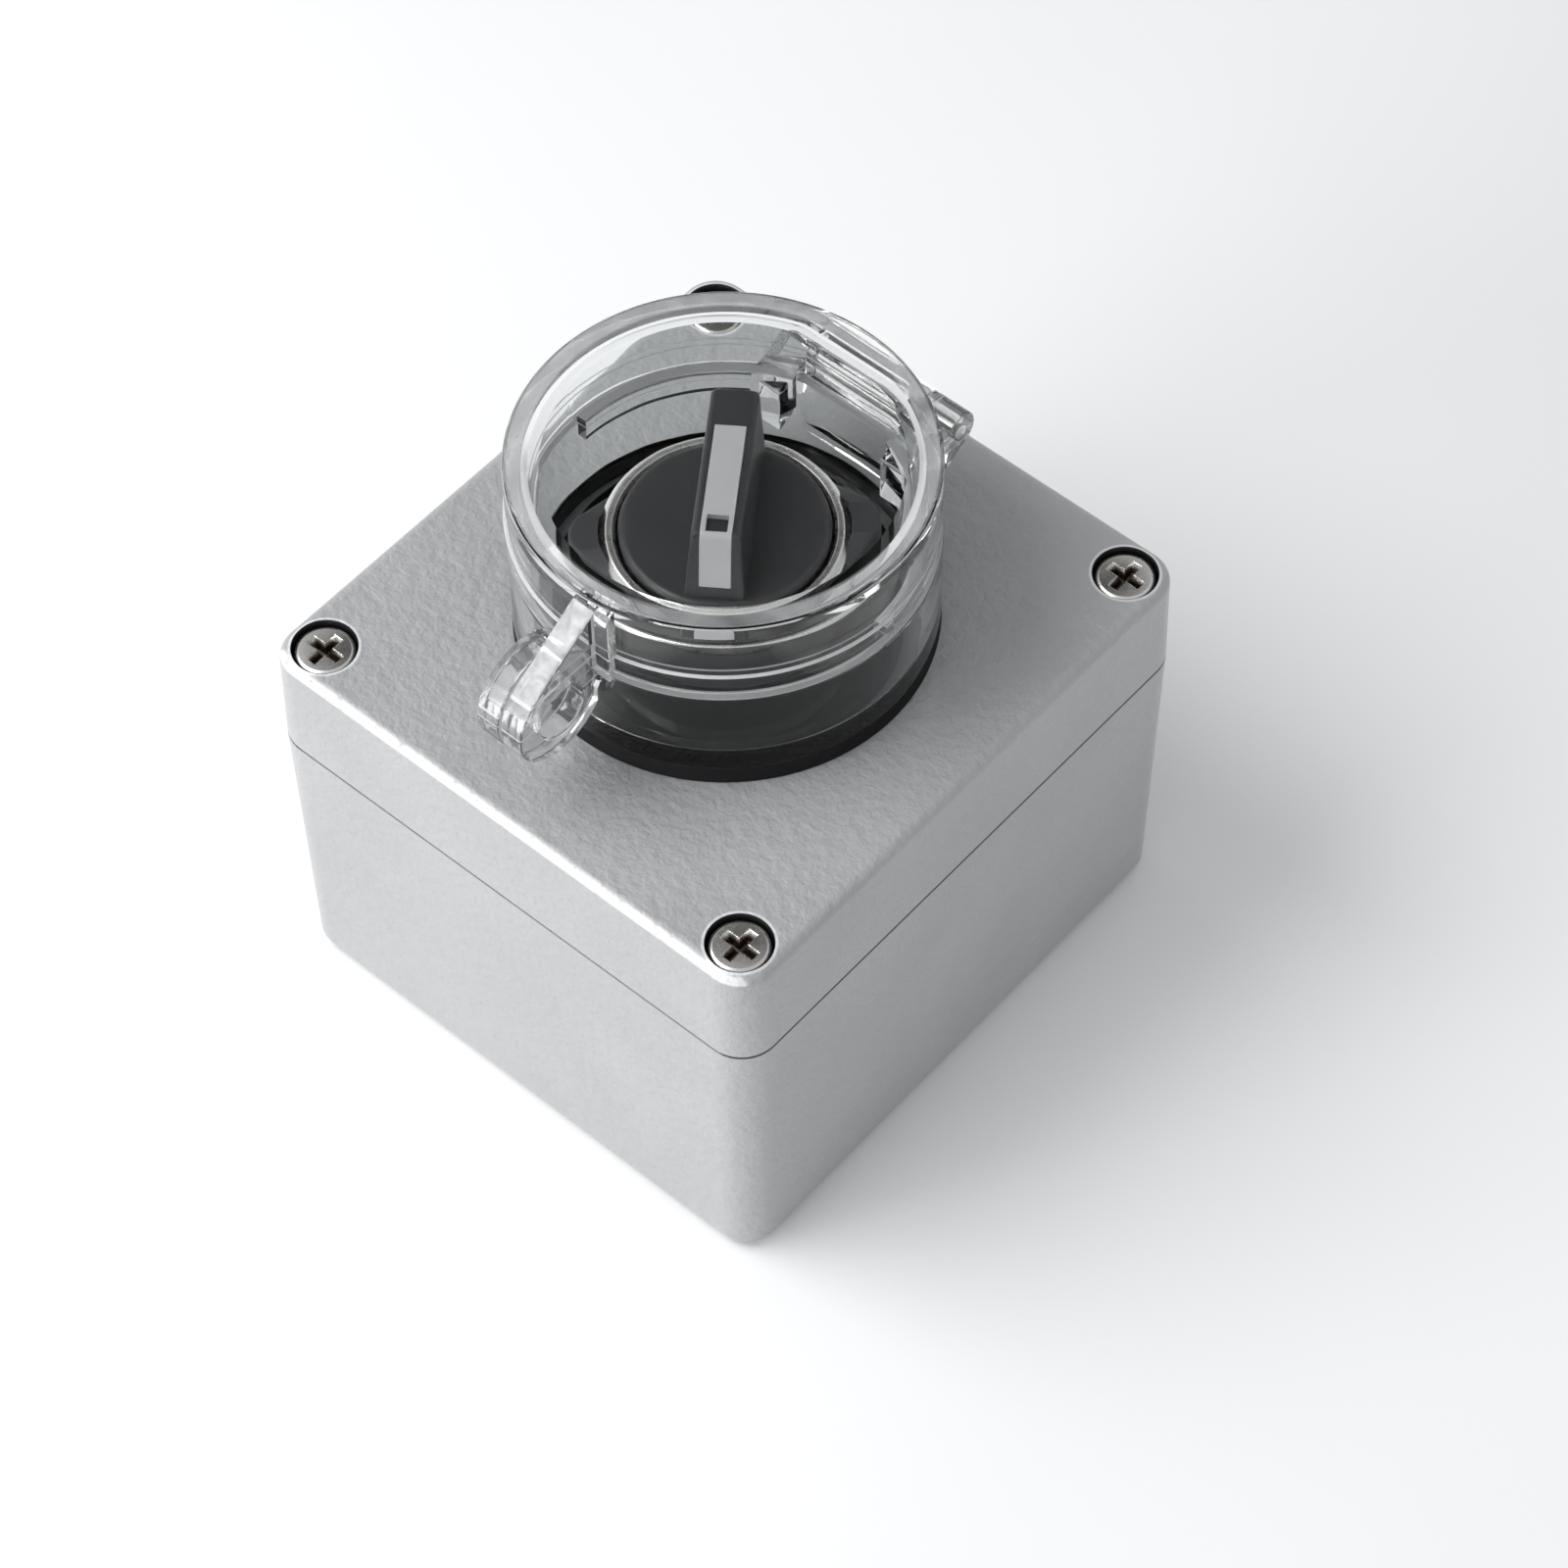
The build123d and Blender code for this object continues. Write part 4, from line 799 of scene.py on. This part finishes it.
def outer_tangent(first, second):
    """The line n . p = d that touches two discs (u, v, radius) from outside, which has
    n . (second - first) = first radius - second radius."""
    across, up = second[0] - first[0], second[1] - first[1]
    turn = atan2(up, across) + acos((first[2] - second[2]) / hypot(across, up))
    n = (cos(turn), sin(turn))
    return n, n[0] * first[0] + n[1] * first[1] + first[2]


cap = swept_ring(
    "clear_cover_lid",
    [(0, flat_start, 0), (flat_start, 180 - flat_start, 0), (180 - flat_start, 180, 0), (180, 360, 1)],
    lid_corners, [0, 2.3, 0.25, 0.3, 0.15, 0.08, 0.15, 0.1, 0.5, 0], closed=False)
lid_knuckle = plate("lid_knuckle", [(hinge_y, hinge_z, knuckle_radius), (23.1, 74.0, 0.15),
                                    (23.1, 80.4, 0.15)], -lid_knuckle_end, lid_knuckle_end)
lid_ear = plate("lid_ear", [ear_disc, arm_tip, (-24.1, 74.0, 0.2)], ear_inner, ear_outer,
                eye, clear_of_wall(above=False, y=-25.45, z=lid_bottom))
hasp_root = plate("hasp_root", [(-25.4, 74.0, 0.15), (-25.4, 84.5, 0.15), (-24.3, 85.4, 0.15),
                                (-24.0, 74.0, 0.15)], ear_inner, root_outer)
cover_lid = joined(cap, [lid_knuckle, lid_ear, hasp_root])
cover_lid = joined(cover_lid, [pin_hole("lid_pin_hole", pin_radius + 0.06)], "DIFFERENCE")

# Whitish patches on the lid: a painted reflection as a veil on the rim of its top, outside the
# room under it, and haze on the hasp arm's outer face.
clear_lid = clear_moulding("clear_polycarbonate_lid", [(lid_bottom, 0.06), (lid_band, 0.14)], 0.12)
lid_y, lid_z = clear_lid.axis("Y"), clear_lid.axis("Z")
lid_r = length(clear_lid.axis("X"), lid_y)
over_room = (1 - lid_r.between(22.3, 22.8)) * (1 - lid_y.between(21.4, 21.9))
# Painted reflection: the rim's whitish veil stands in for the reflections on the outer rim of the top.
rim_reflection = (1 - over_room) * (1 - lid_r.between(24.3, 24.6)) * lid_z.between(85.4, 85.9)
(arm_across, arm_up), arm_face = outer_tangent(ear_disc, arm_tip)
arm = (lid_y * arm_across + lid_z * arm_up).between(arm_face - 0.167, arm_face - 0.067)
arm = arm * (0 - lid_y).between(25.3, 25.5)
reflection_and_haze = rim_reflection * (0.08 + 0.3 * clear_lid.noise(4.0, 1.0)) + arm * (0.15 + 0.4 * clear_lid.noise(1.2, 1.0))
clear_lid.over(reflection_and_haze, base_color=frost_and_highlight_white, roughness=0.4)
settle(cover_lid, clear_lid, "clear_plastic", "cover", "cover_lid",
       "cover_window", "padlock_hasp")


# Hinge pin: stainless wire with rounded ends, pressed through the base's knuckles.
pin_end = 12.45
pin_profile = open_profile([(0, -pin_end), (pin_radius, -pin_end), (pin_radius, pin_end), (0, pin_end)],
                           [0, 0.3, 0.3, 0])
pin = turned("hinge_pin_rod", pin_profile, 40, (hinge_y, hinge_z), lying=True, closed=False)
settle(pin, stainless, "stainless_screw", "enclosure", "cover_hinge_pin")


# Studio: a plain pale floor, soft light that is strongest on the front, a black card where the
# cover's flat top would mirror the sky into the camera, and the camera. The floor lies a little
# under the box's back, so that the two faces don't share one plane.
floor_half, floor_height = 3.0, -0.0003
card_radius, card_place, card_facing = 0.2, (-0.271, 0.310, 0.652), (-0.387, 0.443, 0.809)
sky_colour, sky_strength = (0.97, 0.985, 1.0, 1), 0.6
camera_place, camera_aim = Vector((233.9, -257.1, 500.0)), Vector((3.98, 5.26, 21.39))
camera_roll, camera_lens, sensor_width = radians(-0.6), 110.1, 36.0


def flat_sheet(name, corners, paper, light, dark):
    """One flat face with a faintly uneven paper finish; light and dark are its two tones."""
    mesh = bpy.data.meshes.new(name)
    mesh.from_pydata(corners, [], [list(range(len(corners)))])
    sheet = placed(name, mesh)
    paper.set(base_color=paper.mix(paper.noise(60.0), light, dark))
    paper.paint(sheet)
    return sheet


floor_corners = [(u * floor_half, v * floor_half, 0) for u, v in ((-1, -1), (1, -1), (1, 1), (-1, 1))]
floor = flat_sheet("floor", floor_corners, Finish("pale_paper", specular_ior_level=0.2, roughness=0.9),
                   (0.93, 0.93, 0.93), (0.90, 0.90, 0.90))
floor.location.z = floor_height

card_corners = [(card_radius * cos(a), card_radius * sin(a), 0.0) for a in circle(32)]
card = flat_sheet("black_card", card_corners, Finish("black_paper", specular_ior_level=0.1, roughness=0.9),
                  (0.02, 0.02, 0.02), (0.03, 0.03, 0.03))
card.location = card_place
card.rotation_euler = Vector(card_facing).to_track_quat("Z", "Y").to_euler()

world = bpy.data.worlds.new("studio")
bpy.context.scene.world = world
world.use_nodes = True
sky = world.node_tree.nodes["Background"].inputs
sky["Color"].default_value = sky_colour
sky["Strength"].default_value = sky_strength


def soft_light(name, place, aim, size, power):
    """Round area light at place, turned towards aim."""
    light = bpy.data.lights.new(name, "AREA")
    light.shape, light.size, light.energy = "DISK", size, power
    lamp = placed(name, light)
    lamp.location = place
    lamp.rotation_euler = (Vector(aim) - Vector(place)).to_track_quat("-Z", "Y").to_euler()


soft_light("front_light", (-0.30, -1.10, 0.30), (0, 0, 0.04), size=0.7, power=7.0)
soft_light("key_light", (-0.26, -0.24, 0.52), (0, 0, 0.05), size=0.42, power=2.25)

camera_data = bpy.data.cameras.new("camera")
camera_data.lens, camera_data.sensor_width = camera_lens, sensor_width
camera = placed("camera", camera_data)
camera.location = camera_place * mm
turn = (camera_aim - camera_place).to_track_quat("-Z", "Y") @ Quaternion((0, 0, 1), camera_roll)
camera.rotation_euler = turn.to_euler()
bpy.context.scene.camera = camera
bpy.context.scene.view_settings.view_transform = "Standard"
